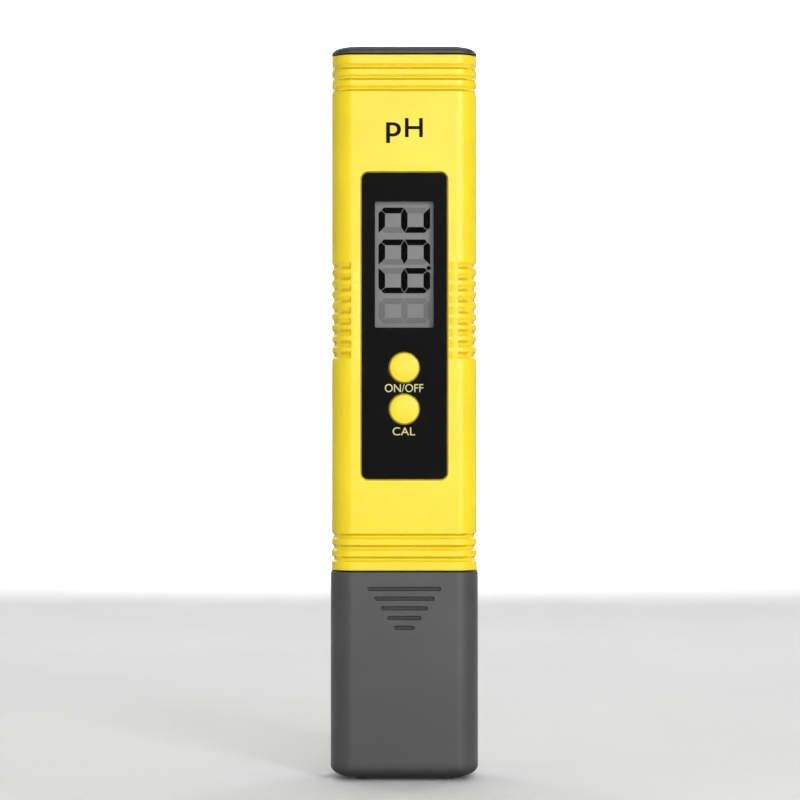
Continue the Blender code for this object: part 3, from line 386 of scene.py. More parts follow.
class Finish:
    """A material under construction, with short ways to add and link its nodes."""

    def __init__(self, name):
        self.material = bpy.data.materials.new(name)
        self.material.use_nodes = True
        self.nodes = self.material.node_tree.nodes
        self.links = self.material.node_tree.links
        self.shader = self.nodes["Principled BSDF"]
        self.places = self.nodes.new("ShaderNodeTexCoord").outputs["Object"]
        self.height = None

    def link(self, value, socket):
        if isinstance(value, bpy.types.NodeSocket):
            self.links.new(value, socket)
        else:
            socket.default_value = value

    def math(self, operation, first, second=0.0):
        node = self.nodes.new("ShaderNodeMath")
        node.operation = operation
        self.link(first, node.inputs[0])
        self.link(second, node.inputs[1])
        return node.outputs[0]

    def times(self, first, second):
        return self.math("MULTIPLY", first, second)

    def plus(self, first, second):
        return self.math("ADD", first, second)

    def ramp(self, value, low, high, start=0.0, end=1.0):
        """Map a value from low..high to start..end, and hold it there outside."""
        node = self.nodes.new("ShaderNodeMapRange")
        for socket, number in zip(node.inputs[1:5], (low, high, start, end)):
            socket.default_value = number
        self.links.new(value, node.inputs[0])
        return node.outputs[0]

    def stretched(self, stretch, turn=(0.0, 0.0, 0.0)):
        """The object's coordinates, stretched and turned."""
        node = self.nodes.new("ShaderNodeMapping")
        node.inputs["Scale"].default_value = stretch
        node.inputs["Rotation"].default_value = [math.radians(a) for a in turn]
        self.links.new(self.places, node.inputs["Vector"])
        return node.outputs[0]

    def noise(self, size, detail=3.0, roughness=0.5, places=None):
        """Fractal noise whose features are about this many millimetres across."""
        node = self.nodes.new("ShaderNodeTexNoise")
        node.inputs["Scale"].default_value = 1.0 / (size * MM)
        node.inputs["Detail"].default_value = detail
        node.inputs["Roughness"].default_value = roughness
        self.links.new(places or self.places, node.inputs["Vector"])
        return node.outputs[0]

    def patches(self, size, low, high, start=0.0, end=1.0, detail=3.0, roughness=0.5):
        """Noise of a size, whose values from low to high become start to end."""
        return self.ramp(self.noise(size, detail, roughness), low, high, start, end)

    def cells(self, size, feature="F1", places=None):
        node = self.nodes.new("ShaderNodeTexVoronoi")
        node.feature = feature
        node.inputs["Scale"].default_value = 1.0 / (size * MM)
        self.links.new(places or self.places, node.inputs["Vector"])
        return node.outputs["Distance"]

    def mix(self, share, first, second):
        """Blend two colours or colour outputs."""
        node = self.nodes.new("ShaderNodeMix")
        node.data_type = "RGBA"
        self.link(share, node.inputs[0])
        for value, socket in ((first, node.inputs[6]), (second, node.inputs[7])):
            self.link(value if isinstance(value, bpy.types.NodeSocket) else (*value, 1.0), socket)
        return node.outputs[2]

    def scratches(self, size, turn, amount):
        """Fine straight marks: the thin band where a stretched noise crosses its middle."""
        field = self.noise(size, 1.0, 0.4, self.stretched((1.0, 1.0, 0.05), turn))
        from_middle = self.math("ABSOLUTE", self.math("SUBTRACT", field, 0.5))
        line = self.ramp(from_middle, 0.0, 0.012, 1.0, 0.0)
        patch = self.patches(14.0, 0.5, 0.62, detail=2.0)
        return self.times(self.times(line, patch), amount)

    def hollow_share(self, distance):
        """0 on open surfaces, rising towards 1 deep in grooves and corners."""
        node = self.nodes.new("ShaderNodeAmbientOcclusion")
        node.samples = 6
        node.only_local = True
        node.inputs["Distance"].default_value = distance * MM
        return self.math("SUBTRACT", 1.0, node.outputs["AO"])

    def stored(self, kind):
        """An amount of painted shade stored on the piece's surface, by name."""
        node = self.nodes.new("ShaderNodeAttribute")
        node.attribute_name = kind
        return node.outputs["Fac"]

    def bump(self, height, depth):
        """Add a layer of relief, with its depth in millimetres."""
        node = self.nodes.new("ShaderNodeBump")
        node.inputs["Distance"].default_value = depth * MM
        self.link(height, node.inputs["Height"])
        if self.height is not None:
            self.links.new(self.height, node.inputs["Normal"])
        self.height = node.outputs[0]

    def done(self, colour, roughness, **constants):
        self.link(colour, self.shader.inputs["Base Color"])
        self.link(roughness, self.shader.inputs["Roughness"])
        if self.height is not None:
            self.links.new(self.height, self.shader.inputs["Normal"])
        for key, value in constants.items():
            self.shader.inputs[key.replace("_", " ")].default_value = value
        return self.material


def scaled(colour, factor):
    return tuple(channel * factor for channel in colour)


def moulded(name, colour, roughness, deep=None, groove=None, tint=0.05, grain=0.35,
            relief=0.004, scratch=0.5, **constants):
    """Moulded plastic: faint flow mottling, fine texture, handling marks, and painted shade in grooves,
    gaps and hollows.
    """
    finish = Finish(name)
    mottling = finish.patches(11.0, 0.3, 0.7)
    body = finish.mix(mottling, scaled(colour, 1.0 - tint), scaled(colour, 1.0 + tint * 0.4))
    specks = finish.patches(0.9, 0.62, 0.75, 0.0, 0.35, detail=2.0)
    body = finish.mix(specks, body, scaled(colour, 0.93))
    # Painted shade: the groove colour goes where the piece's stored shade mask marks a groove, a gap or
    # the cap's heel, and a darker copy of it goes on the groove walls that its second mask marks; both
    # masks also dull the gloss.
    if groove is not None:
        body = finish.mix(finish.stored("recess"), body, groove)
        cover = finish.patches(4.0, 0.2, 0.8, 0.75, 1.0)
        grime = finish.times(finish.stored("grime"), cover)
        body = finish.mix(grime, body, scaled(groove, 0.62))
    # Painted shade in hollows: the deep colour goes where ambient occlusion finds a place shut in.
    if deep is not None:
        hollow_shade = finish.ramp(finish.hollow_share(1.3), 0.5, 0.95)
        hollow_shade = finish.times(hollow_shade, finish.patches(5.0, 0.2, 0.8, 0.8, 1.0))
        body = finish.mix(hollow_shade, body, deep)
    marks = finish.scratches(1.6, (0.0, 24.0, 0.0), scratch)
    smudges = finish.patches(7.0, 0.35, 0.7, -0.04, 0.05, detail=4.0, roughness=0.6)
    level = finish.plus(finish.plus(smudges, roughness), finish.times(marks, 0.15))
    if groove is not None:
        level = finish.plus(level, finish.times(finish.stored("recess"), 0.45))
        level = finish.plus(level, finish.times(grime, 0.3))
    finish.bump(finish.noise(grain, 2.0, 0.6), relief)
    finish.bump(finish.times(marks, -1.0), 0.006)
    return finish.done(body, level, **constants)


def coat(name, colour, other, cover, gloss, relief, detail=3.0, gloss_detail=3.0, **constants):
    """A plain coat in two tones, with a fine texture.

    cover and gloss each give the size of the patches, the noise's low and high, and what
    these become: the other tone's share, and the roughness. relief is a size and a depth.
    """
    finish = Finish(name)
    body = finish.mix(finish.patches(*cover, detail=detail), colour, scaled(colour, other))
    finish.bump(finish.noise(relief[0], 2.0), relief[1])
    return finish.done(body, finish.patches(*gloss, detail=gloss_detail), **constants)


def rubber(name, colour):
    """Rubber with a pale, duller bloom."""
    return coat(name, colour, 1.8, (2.2, 0.45, 0.75, 0.0, 0.5), (2.2, 0.45, 0.75, 0.6, 0.78),
                (0.12, 0.01), 4.0, 4.0, Specular_IOR_Level=0.3)


def wire_coat(name, colour):
    return coat(name, colour, 0.8, (1.8, 0.35, 0.7), (1.0, 0.3, 0.7, 0.35, 0.5), (0.2, 0.004))


def printed(name, colour, roughness=0.45, worn=0.25, shine=0.3):
    """Screen-printed ink: slightly uneven cover and a fine pinhole texture."""
    gloss = (0.6, 0.3, 0.7, roughness - 0.05, roughness + 0.08)
    return coat(name, colour, 0.72, (0.5, 0.35, 0.75, 0.0, worn), gloss, (0.1, 0.003),
                Specular_IOR_Level=shine)


def metal(name, colour, roughness):
    """Metal with fine upright drawn lines and faint tarnish."""
    finish = Finish(name)
    lines = finish.noise(0.12, 3.0, 0.6, finish.stretched((1.0, 1.0, 0.03)))
    tarnish = finish.patches(3.0, 0.4, 0.75, detail=4.0)
    body = finish.mix(tarnish, colour, scaled(colour, 0.82))
    dull = finish.ramp(tarnish, 0.0, 1.0, roughness, roughness + 0.12)
    level = finish.plus(finish.ramp(lines, 0.3, 0.7, -0.05, 0.07), dull)
    finish.bump(lines, 0.0015)
    return finish.done(body, level, Metallic=1.0)


def liquid_crystal(name):
    """Grey reflective film under the display glass, with faint mottling and fine sparkle."""
    finish = Finish(name)
    base = (0.228, 0.229, 0.226)
    shade = finish.patches(9.0, 0.3, 0.7, detail=2.0)
    body = finish.mix(shade, scaled(base, 0.97), scaled(base, 1.03))
    sparkle = finish.patches(0.09, 0.55, 0.8, 0.0, 0.12, detail=2.0)
    body = finish.mix(sparkle, body, scaled(base, 1.25))
    finish.bump(finish.noise(0.08, 2.0), 0.001)
    return finish.done(body, finish.ramp(shade, 0.0, 1.0, 0.32, 0.38), Specular_IOR_Level=0.1)


def clear_plastic(name):
    """Window plastic: almost wholly clear, with faint dust and wiping marks in its gloss."""
    finish = Finish(name)
    wiped = finish.noise(1.2, 3.0, 0.5, finish.stretched((1.0, 1.0, 0.2), (0.0, 35.0, 0.0)))
    body = finish.mix(finish.ramp(wiped, 0.3, 0.7), (0.020, 0.022, 0.024), (0.030, 0.032, 0.034))
    finish.bump(wiped, 0.0005)
    finish.material.surface_render_method = "BLENDED"
    return finish.done(body, finish.ramp(wiped, 0.3, 0.7, 0.10, 0.16), Alpha=0.02,
                       Specular_IOR_Level=0.25)


def bulb_glass(name):
    finish = Finish(name)
    streak = finish.noise(1.5, 2.0, 0.5, finish.stretched((1.0, 1.0, 0.15)))
    body = finish.mix(finish.ramp(streak, 0.3, 0.7), (0.93, 0.97, 0.98), (0.86, 0.94, 0.96))
    finish.bump(streak, 0.006)
    return finish.done(body, finish.ramp(streak, 0.3, 0.7, 0.01, 0.05), Transmission_Weight=1.0, IOR=1.47)


def sponge(name):
    """Open-cell sponge with damp patches, and painted shade in its pores."""
    finish = Finish(name)
    pores = finish.ramp(finish.cells(0.55), 0.05, 0.42)
    wet = finish.patches(4.0, 0.35, 0.7, 0.0, 0.5)
    # Painted shade: the pores are darker.
    body = finish.mix(pores, (0.30, 0.22, 0.07), (0.80, 0.68, 0.32))
    body = finish.mix(wet, body, (0.55, 0.44, 0.18))
    finish.bump(pores, 0.22)
    return finish.done(body, finish.ramp(wet, 0.0, 0.5, 0.95, 0.75), Specular_IOR_Level=0.2)


def ceramic(name):
    finish = Finish(name)
    # Painted shade in the pits: they are darker.
    pits = finish.ramp(finish.cells(0.16), 0.1, 0.45)
    body = finish.mix(pits, (0.62, 0.59, 0.50), (0.84, 0.82, 0.76))
    finish.bump(pits, 0.03)
    return finish.done(body, finish.ramp(pits, 0.0, 1.0, 0.9, 0.75), Specular_IOR_Level=0.3)


def board(name):
    """Green solder resist over lighter copper tracks."""
    finish = Finish(name)
    grid = finish.cells(2.3, "DISTANCE_TO_EDGE", finish.stretched((1.0, 0.01, 1.0)))
    tracks = finish.ramp(grid, 0.05, 0.09, 1.0, 0.0)
    body = finish.mix(finish.patches(6.0, 0.3, 0.7), (0.008, 0.085, 0.028), (0.012, 0.11, 0.038))
    body = finish.mix(tracks, body, (0.035, 0.21, 0.06))
    finish.bump(tracks, 0.03)
    finish.bump(finish.noise(0.3), 0.004)
    return finish.done(body, finish.patches(2.0, 0.3, 0.7, 0.24, 0.36))


def paper_film(name):
    """Matt printed film of the blank rear label."""
    finish = Finish(name)
    fibre = finish.noise(0.25, 4.0, 0.6)
    body = finish.mix(finish.ramp(fibre, 0.3, 0.7), (0.70, 0.70, 0.67), (0.78, 0.78, 0.755))
    body = finish.mix(finish.patches(9.0, 0.5, 0.8, 0.0, 0.25), body, (0.62, 0.60, 0.52))
    finish.bump(fibre, 0.003)
    return finish.done(body, finish.ramp(fibre, 0.3, 0.7, 0.42, 0.55))


# Each deep colour is painted shade in hollows; each groove colour is painted shade in grooves, in the
# gaps round the keys and on the cap's heel.
YELLOW = moulded("yellow_plastic", (0.90, 0.685, 0.014), 0.36, deep=(0.16, 0.09, 0.001),
                 groove=(0.88, 0.62, 0.003), grain=0.30, relief=0.003, Specular_IOR_Level=0.12,
                 Coat_Weight=0.6, Coat_Roughness=0.30)
CAP_GREY = moulded("cap_plastic", (0.056, 0.054, 0.056), 0.42, deep=(0.028, 0.027, 0.028),
                   groove=(0.012, 0.012, 0.012), grain=0.28, relief=0.005, tint=0.09)
LID_GREY = moulded("lid_plastic", (0.042, 0.040, 0.041), 0.42, deep=(0.008, 0.008, 0.008),
                   grain=0.28, relief=0.005, tint=0.09)
PANEL_BLACK = moulded("panel_plastic", (0.0040, 0.0040, 0.0043), 0.44, grain=0.22, relief=0.003,
                      tint=0.2, scratch=0.25, Specular_IOR_Level=0.035)
INNER_BLACK = moulded("inner_plastic", (0.022, 0.022, 0.025), 0.46, deep=(0.006, 0.006, 0.007),
                      grain=0.35, relief=0.006, tint=0.12)
WHITE = moulded("white_plastic", (0.72, 0.72, 0.68), 0.42, deep=(0.35, 0.33, 0.28), tint=0.05)
CHIP = moulded("chip_plastic", (0.012, 0.012, 0.013), 0.55, grain=0.12, relief=0.006, tint=0.2)
EPOXY = moulded("epoxy", (0.022, 0.026, 0.040), 0.25, grain=1.4, relief=0.02, tint=0.25)
CAPACITOR = moulded("capacitor_body", (0.48, 0.27, 0.045), 0.42, grain=0.2, relief=0.006, tint=0.12)
LABEL = paper_film("label_film")
CLEAR = clear_plastic("clear_plastic")
CRYSTAL_FILM = liquid_crystal("display_glass")
BULB = bulb_glass("bulb_glass")
SEAL = rubber("seal_rubber", (0.016, 0.016, 0.018))
ZEBRA = rubber("zebra_rubber", (0.30, 0.19, 0.16))
SPONGE = sponge("sponge")
CERAMIC = ceramic("porous_ceramic")
BOARD = board("board_laminate")
STEEL = metal("steel", (0.47, 0.47, 0.49), 0.28)
CELL_STEEL = metal("cell_steel", (0.50, 0.50, 0.51), 0.33)
SPRING = metal("spring_metal", (0.70, 0.62, 0.44), 0.30)
SILVER = metal("silver", (0.80, 0.80, 0.81), 0.24)
RED_WIRE = wire_coat("red_wire", (0.50, 0.015, 0.015))
BLACK_WIRE = wire_coat("black_wire", (0.016, 0.016, 0.017))
WHITE_WIRE = wire_coat("white_wire", (0.70, 0.70, 0.67))
PALE_INK = printed("pale_ink", (0.66, 0.64, 0.27), shine=0.2)
BLACK_INK = printed("black_ink", (0.0025, 0.0025, 0.0028), roughness=0.45, shine=0.06)
GREY_INK = printed("grey_ink", (0.10, 0.10, 0.11))
LIT_SEGMENT = printed("lit_segment", (0.0005, 0.0005, 0.0006), roughness=0.40, worn=0.1, shine=0.0)
FAINT_SEGMENT = printed("faint_segment", (0.160, 0.161, 0.159), roughness=0.34, worn=0.06, shine=0.1)


# ---------------------------------------------------------------- case


def smooth_step(share):
    share = min(max(share, 0.0), 1.0)
    return share * share * (3.0 - 2.0 * share)


def ring_inset(height):
    """Depth of the round ring grooves at a height."""
    for ring in RING_HEIGHTS:
        share = (height - ring + RING_HALF) / (2.0 * RING_HALF)
        if 0.0 < share < 1.0:
            return RING_DEPTH * math.sin(math.pi * share) ** 1.2
    return 0.0


def grip_heights():
    lowest = GRIP_CENTRE - GRIP_PITCH * (GRIP_COUNT - 1) / 2.0
    return [lowest + GRIP_PITCH * i for i in range(GRIP_COUNT)]


def grip_inset(height):
    """Depth of the side grips at a height: a flat floor between soft walls."""
    away = min(abs(height - centre) for centre in grip_heights())
    return GRIP_DEPTH * smooth_step((GRIP_HALF - away) / (GRIP_HALF - GRIP_FLOOR))


def on_skin(place):
    """Whether a place on the case lies in its outer skin, within the grooves' depth."""
    return max(abs(place.x) - CASE_WIDTH / 2.0, abs(place.y) - CASE_FACE) > -1.0


def case_recess(place):
    """Painted shade in the ring grooves and grips at a place on the case, from how deep it lies in them.
    """
    if not on_skin(place):
        return 0.0
    reach = smooth_step((abs(place.x) - GRIP_REACH) / GRIP_FADE)
    ring = RING_SHADE * ring_inset(place.z) / RING_DEPTH
    return min(1.0, ring + reach * grip_inset(place.z) / GRIP_DEPTH)


def wall_grime(height, centre, half):
    """Painted shade on the one wall of a groove that faces away from the middle of the case."""
    away = 1.0 if centre > WALL_SHADE_MIDDLE else -1.0
    share = away * (centre - height) / half
    return math.sin(math.pi * share) ** 0.8 if 0.0 < share < 1.0 else 0.0


def case_grime(place):
    """Painted shade on the walls of the case's ring grooves and grips at a place."""
    if not on_skin(place):
        return 0.0
    rings = max(wall_grime(place.z, ring, RING_HALF) for ring in RING_HEIGHTS)
    reach = smooth_step((abs(place.x) - GRIP_REACH) / GRIP_FADE)
    grips = max(wall_grime(place.z, grip, GRIP_HALF) for grip in grip_heights())
    return max(rings, GRIP_WALL_SHADE * reach * grips)


def case_columns():
    """Columns of the case's skin: place, outward direction, share of the grips, seam inset."""
    fine_turns = [0.0, 1.3, 2.0, 2.8, 3.6, 4.6, 5.8, 8.0, 11.0, 16.0, 22.0, 30.0, 40.0, 50.0, 60.0,
                  70.0, 80.0, 90.0]
    seam_steps = [(SEAM_HALF + SEAM_ROUND * (1.0 - math.cos(a)), SEAM_ROUND * (1.0 - math.sin(a)))
                  for a in (math.radians(90.0 - 18.0 * i) for i in range(6))]
    columns = []
    outline = rounded(CASE_WIDTH, CASE_DEPTH, CASE_CORNER, fine_turns)
    per_corner = len(fine_turns)
    for index, (place, out) in enumerate(outline):
        share = smooth_step((abs(place.x) - GRIP_REACH) / GRIP_FADE)
        columns.append((place, out, share, 0.0))
        corner = index // per_corner
        side_x, side_y = QUARTERS[corner]
        if index % per_corner == per_corner - 1 and side_x * side_y < 0:
            across = Vector((side_x, 0.0))
            for offset, inset in seam_steps:
                spot = Vector((side_x * CASE_WIDTH / 2.0, side_y * offset))
                columns.append((spot, across, 1.0, inset))
            for offset, inset in seam_steps[::-1]:
                spot = Vector((side_x * CASE_WIDTH / 2.0, -side_y * offset))
                columns.append((spot, across, 1.0, inset))
    return columns


def case_rows():
    """Heights of the skin's rows, each with the rounding of the case's open ends."""
    rows = rise(CASE_BOTTOM, CASE_RIM) + fall(CASE_TOP, CASE_RIM)
    ring_steps = 16
    for ring in RING_HEIGHTS:
        rows += [(ring + RING_HALF * (2.0 * i / ring_steps - 1.0), 0.0) for i in range(ring_steps + 1)]
    wall_steps = 7
    for centre in grip_heights():
        for side in (-1.0, 1.0):
            for i in range(wall_steps + 1):
                offset = GRIP_FLOOR + (GRIP_HALF - GRIP_FLOOR) * i / wall_steps
                rows.append((centre + side * offset, 0.0))
    return sorted(rows)


def case_skin():
    """The whole case as one solid body, with its ring grooves, grips and softened seam."""
    columns = case_columns()
    rings = []
    for height, rim in case_rows():
        ring = []
        for place, out, share, seam in columns:
            inset = ring_inset(height) + grip_inset(height) * share + seam - rim
            spot = place - out * inset
            ring.append((spot.x, spot.y, height))
        rings.append(ring)
    shape = bmesh.new()
    skin(shape, rings)
    bmesh.ops.recalc_face_normals(shape, faces=shape.faces)
    return shape


def block(size, centre):
    shape = bmesh.new()
    bmesh.ops.create_cube(shape, size=1.0)
    bmesh.ops.scale(shape, vec=size, verts=shape.verts)
    bmesh.ops.translate(shape, vec=centre, verts=shape.verts)
    return shape


def case_half(side):
    """One half of the case as an open shell: side -1 is the front, +1 the rear."""
    shape = case_skin()
    middle = (CASE_BOTTOM + CASE_TOP) / 2.0
    depth = CASE_DEPTH * 2.0
    far = block((CASE_WIDTH * 2.0, depth, CASE_TOP), (0.0, side * (SEAM_HALF - depth / 2.0), middle))
    shape = combined(shape, far)
    hollow = loft(rounded(*INNER_SIZE, INNER_CORNER), [(CASE_BOTTOM - 1.0, 0.0), (CASE_TOP + 1.0, 0.0)])
    shape = combined(shape, hollow)
    low, high = HOLDER_FLANGE
    groove = rounded(*grown(FLANGE_SIZE, GAP), FLANGE_CORNER + GAP)
    return combined(shape, loft(groove, [(low - GAP, 0.0), (high + GAP, 0.0)]))


def posts(places, radius, low, high, facing):
    shape = bmesh.new()
    for place in places:
        loft(circle(radius, 40), [(low, 0.0), (high, 0.0)], facing=facing, centre=place, shape=shape)
    return shape


def seam_lips():
    """Thin lips on the front half that stand behind the parting line and keep light out."""
    low = HOLDER_HIGH.z + GAP
    high = TRAY_BOTTOM - GAP
    middle = (low + high) / 2.0
    wall = INNER_SIZE[0] / 2.0
    shape = bmesh.new()
    lip_size = (LIP_THICKNESS, 2.0 * LIP_HALF, high - low)
    root_size = (LIP_THICKNESS + 0.4, LIP_HALF / 2.0, high - low)
    for side in (-1.0, 1.0):
        lip = block(lip_size, (side * (wall - LIP_THICKNESS / 2.0 - 0.02), 0.0, middle))
        root = block(root_size, (side * wall, -LIP_HALF * 0.75, middle))
        merge(shape, combined(lip, root, "UNION"))
    return shape


def front_shell():
    shape = combined(case_half(-1.0), seam_lips(), "UNION")
    panel = rounded(*grown(front_size(PANEL_LOW, PANEL_HIGH), PANEL_PLAY), PANEL_CORNER + PANEL_PLAY)
    floor = CASE_FACE - PANEL_RECESS
    shape = combined(shape, sink(panel, floor, CASE_FACE, 0.16, "front",
                                 front_centre(PANEL_LOW, PANEL_HIGH)))
    window = rounded(*grown(front_size(WINDOW_LOW, WINDOW_HIGH), GAP), 0.8)
    through = [(INNER_FACE - 0.4, 0.0), (floor + 0.2, 0.0)]
    holes = loft(window, through, facing="front", centre=(0.0, DISPLAY_Z))
    for place in BUTTON_PLACES:
        loft(circle(BUTTON_FLANGE + GAP), through, facing="front", centre=place, shape=holes)
    shape = combined(shape, holes)
    case_posts = posts(CASE_SCREW_PLACES, CASE_POST, GAP, INNER_FACE + 0.4, "front")
    shape = combined(shape, case_posts, "UNION")
    board_posts = posts(BOARD_SCREW_PLACES, BOARD_POST, BOARD_FRONT + GAP, INNER_FACE + 0.25, "front")
    shape = combined(shape, board_posts, "UNION")
    shape = combined(shape, posts(CASE_SCREW_PLACES, CASE_BORE, -1.0, INNER_FACE - 0.4, "front"))
    shape = combined(shape, posts(BOARD_SCREW_PLACES, BOARD_BORE, 0.0, INNER_FACE - 0.3, "front"))
    # The case shell takes painted shade deep in its grooves and grips, and more on one wall of each.
    add_piece("front_shell_skin", shape, YELLOW, "meter", "front_shell",
              recess=case_recess, grime=case_grime)


def rear_shell():
    shape = case_half(1.0)
    shape = combined(shape, posts(CASE_SCREW_PLACES, REAR_POST, GAP, INNER_FACE + 0.4, "rear"), "UNION")
    shape = combined(shape, posts(CASE_SCREW_PLACES, CASE_BORE, -1.0, CASE_FACE + 1.0, "rear"))
    sinks = bmesh.new()
    for place in CASE_SCREW_PLACES:
        sink(circle(CASE_SCREW[0] + GAP), SCREW_SEAT, CASE_FACE, 0.18, "rear", place, shape=sinks)
    shape = combined(shape, sinks)
    label = rounded(*grown(front_size(LABEL_LOW, LABEL_HIGH), 0.2), 1.2)
    shape = combined(shape, sink(label, CASE_FACE - 0.3, CASE_FACE, 0.1, "rear",
                                 front_centre(LABEL_LOW, LABEL_HIGH)))
    # The case shell takes painted shade deep in its grooves and grips, and more on one wall of each.
    add_piece("rear_shell_skin", shape, YELLOW, "meter", "rear_shell",
              recess=case_recess, grime=case_grime)


def rear_label():
    """Blank rating label with ruled lines printed across it."""
    size = front_size(LABEL_LOW, LABEL_HIGH)
    centre = front_centre(LABEL_LOW, LABEL_HIGH)
    film = soft_plate(size, 1.0, LABEL_LOW.y, LABEL_HIGH.y, 0.02, 0.04, 2, facing="rear", centre=centre)
    add_piece("rear_label_film", film, LABEL, "meter", "rear_label")
    rule = 0.22
    wide, tall = grown(size, -1.3)
    lines = bmesh.new()
    rows = 5
    for i in range(rows + 1):
        height = centre[1] - tall / 2.0 + tall * i / rows
        merge(lines, block((wide, 0.02, rule), (0.0, LABEL_HIGH.y, height)))
    add_piece("rear_label_rules", lines, GREY_INK, "meter")


# ---------------------------------------------------------------- panel, window, buttons, display

BUTTON_PLACES = [(0.0, front_centre(*span(key))[1]) for key in ("power_button", "cal_button")]
BUTTON_FRONT = -span("power_button")[0].y
BUTTON_END = -span("power_button")[1].y
PANEL_FRONT = -PANEL_LOW.y
PANEL_BACK = -PANEL_HIGH.y


def face_panel():
    shape = soft_plate(front_size(PANEL_LOW, PANEL_HIGH), PANEL_CORNER, PANEL_BACK, PANEL_FRONT,
                       0.05, 0.14, 4, facing="front", centre=front_centre(PANEL_LOW, PANEL_HIGH))
    cutter = sink(rounded(WINDOW_WIDTH, WINDOW_HEIGHT, 0.3, even_turns(5)), PANEL_BACK - 1.0,
                  PANEL_FRONT, 0.08, "front", (0.0, DISPLAY_Z))
    shape = combined(shape, cutter)
    for place in BUTTON_PLACES:
        shape = combined(shape, sink(circle(BUTTON_RADIUS + BUTTON_PLAY), PANEL_BACK - 1.0,
                                     PANEL_FRONT, 0.14, "front", place))
    add_piece("face_panel_skin", shape, PANEL_BLACK, "meter", "face_panel")


def display_window():
    flange_back = INNER_FACE
    flange_front = PANEL_BACK - PANEL_PLAY
    step_front = -WINDOW_LOW.y
    centre = (0.0, DISPLAY_Z)
    flange = soft_plate(front_size(WINDOW_LOW, WINDOW_HIGH), 0.6, flange_back,
                        flange_front, 0.05, 0.05, 2, facing="front", centre=centre)
    step = soft_plate(grown((WINDOW_WIDTH, WINDOW_HEIGHT), -0.18), 0.25, flange_front - 0.2,
                      step_front, 0.05, 0.1, 3, facing="front", centre=centre)
    shape = combined(flange, step, "UNION")
    add_piece("display_window_lens", shape, CLEAR, "meter", "display_window")


def push_button(name, body, place):
    """Round key with a softly crowned top, its retaining flange and its stem."""
    edge = 0.40
    crown = 0.13
    top = BUTTON_FRONT
    rim = top - crown
    inside = BUTTON_RADIUS - edge
    head = [(inside * i / 10.0, top - crown * (i / 10.0) ** 4) for i in range(11)]
    rounding = arc((inside, rim - edge), edge, 68.0, 0.0, 7)
    floor = CASE_FACE - PANEL_RECESS
    neck = (BUTTON_RADIUS, PANEL_FRONT - BUTTON_NECK)
    profile = [*head, *rounding, neck, (BUTTON_RADIUS, floor), (BUTTON_FLANGE, floor),
               (BUTTON_FLANGE, floor - 0.7), (1.5, floor - 0.7), (1.5, BUTTON_END), (0.0, BUTTON_END)]
    shape = turned(profile[::-1], 72, facing="front", centre=place)

    # Painted shade on the part of the key below its neck, down in the gap round it.
    def below_neck(spot):
        return 1.0 if -spot.y < PANEL_FRONT - BUTTON_NECK - 0.05 else 0.0

    add_piece(name + "_cap", shape, YELLOW, body, name, sharp=50.0, recess=below_neck,
              grime=below_neck)


DIGIT_HALF_WIDTH = 2.67              # the digits read upwards: their width runs along Z
DIGIT_HALF_HEIGHT = 5.45
SIDE_BAR = 1.22                      # thickness of the upright bars b, c, e and f
CROSS_BAR = 1.38                     # thickness of the bars a, g and d
BAR_GAP = 0.09
CORNER_CUT = 1.15
READING = ((-9.74, ""), (-3.32, "acdefg"), (2.72, "abcdg"), (9.47, "abdeg"))
POINT_PLACE = (5.16, -0.66)


def side_bar(flip_u, flip_v):
    """Outline of bar b, mirrored into c, e or f."""
    w, h = DIGIT_HALF_WIDTH, DIGIT_HALF_HEIGHT
    inner = w - SIDE_BAR
    points = [
        (w, h - CORNER_CUT), (w - CORNER_CUT / 2.0 + BAR_GAP / 2.0, h - CORNER_CUT / 2.0 - BAR_GAP / 2.0),
        (inner, h - CROSS_BAR - BAR_GAP), (inner, CROSS_BAR / 2.0 + BAR_GAP), (w, BAR_GAP),
    ]
    return [(flip_u * u, flip_v * v) for u, v in points]


def end_of_cross_bar(next_is_lit):
    """The right end of bar a, from its outer edge inwards."""
    w, h = DIGIT_HALF_WIDTH, DIGIT_HALF_HEIGHT
    inner = (w - SIDE_BAR - BAR_GAP, h - CROSS_BAR)
    if not next_is_lit:
        return [(w, h), inner]
    cut = CORNER_CUT / 2.0
    return [(w - CORNER_CUT, h), (w - cut - BAR_GAP / 2.0, h - cut + BAR_GAP / 2.0), inner]


def bar_outlines(lit):
    """Outlines of a digit's lit bars, in its own reading direction."""
    inner = DIGIT_HALF_WIDTH - SIDE_BAR - BAR_GAP / 2.0
    tip = DIGIT_HALF_WIDTH - 0.12
    half = CROSS_BAR / 2.0
    outlines = []
    for name, flip, right, left in (("a", 1.0, "b", "f"), ("d", -1.0, "c", "e")):
        if name in lit:
            points = end_of_cross_bar(right in lit)
            points += [(-u, v) for u, v in end_of_cross_bar(left in lit)][::-1]
            outlines.append([(u, flip * v) for u, v in points])
    if "g" in lit:
        outlines.append([(tip, 0.0), (inner, half), (-inner, half),
                         (-tip, 0.0), (-inner, -half), (inner, -half)])
    for name, flips in (("b", (1.0, 1.0)), ("c", (1.0, -1.0)), ("e", (-1.0, -1.0)), ("f", (-1.0, 1.0))):
        if name in lit:
            outlines.append(side_bar(*flips))
    return outlines


def add_bars(shape, digit_z, lit, back, front):
    """Bars of one digit as thin prisms: its top points towards -X and it reads upwards."""
    for outline in bar_outlines(lit):
        bar = bmesh.new()
        skin(bar, [[(-v, -level, digit_z + u) for u, v in outline] for level in (back, front)])
        bmesh.ops.recalc_face_normals(bar, faces=bar.faces)
        merge(shape, bar)


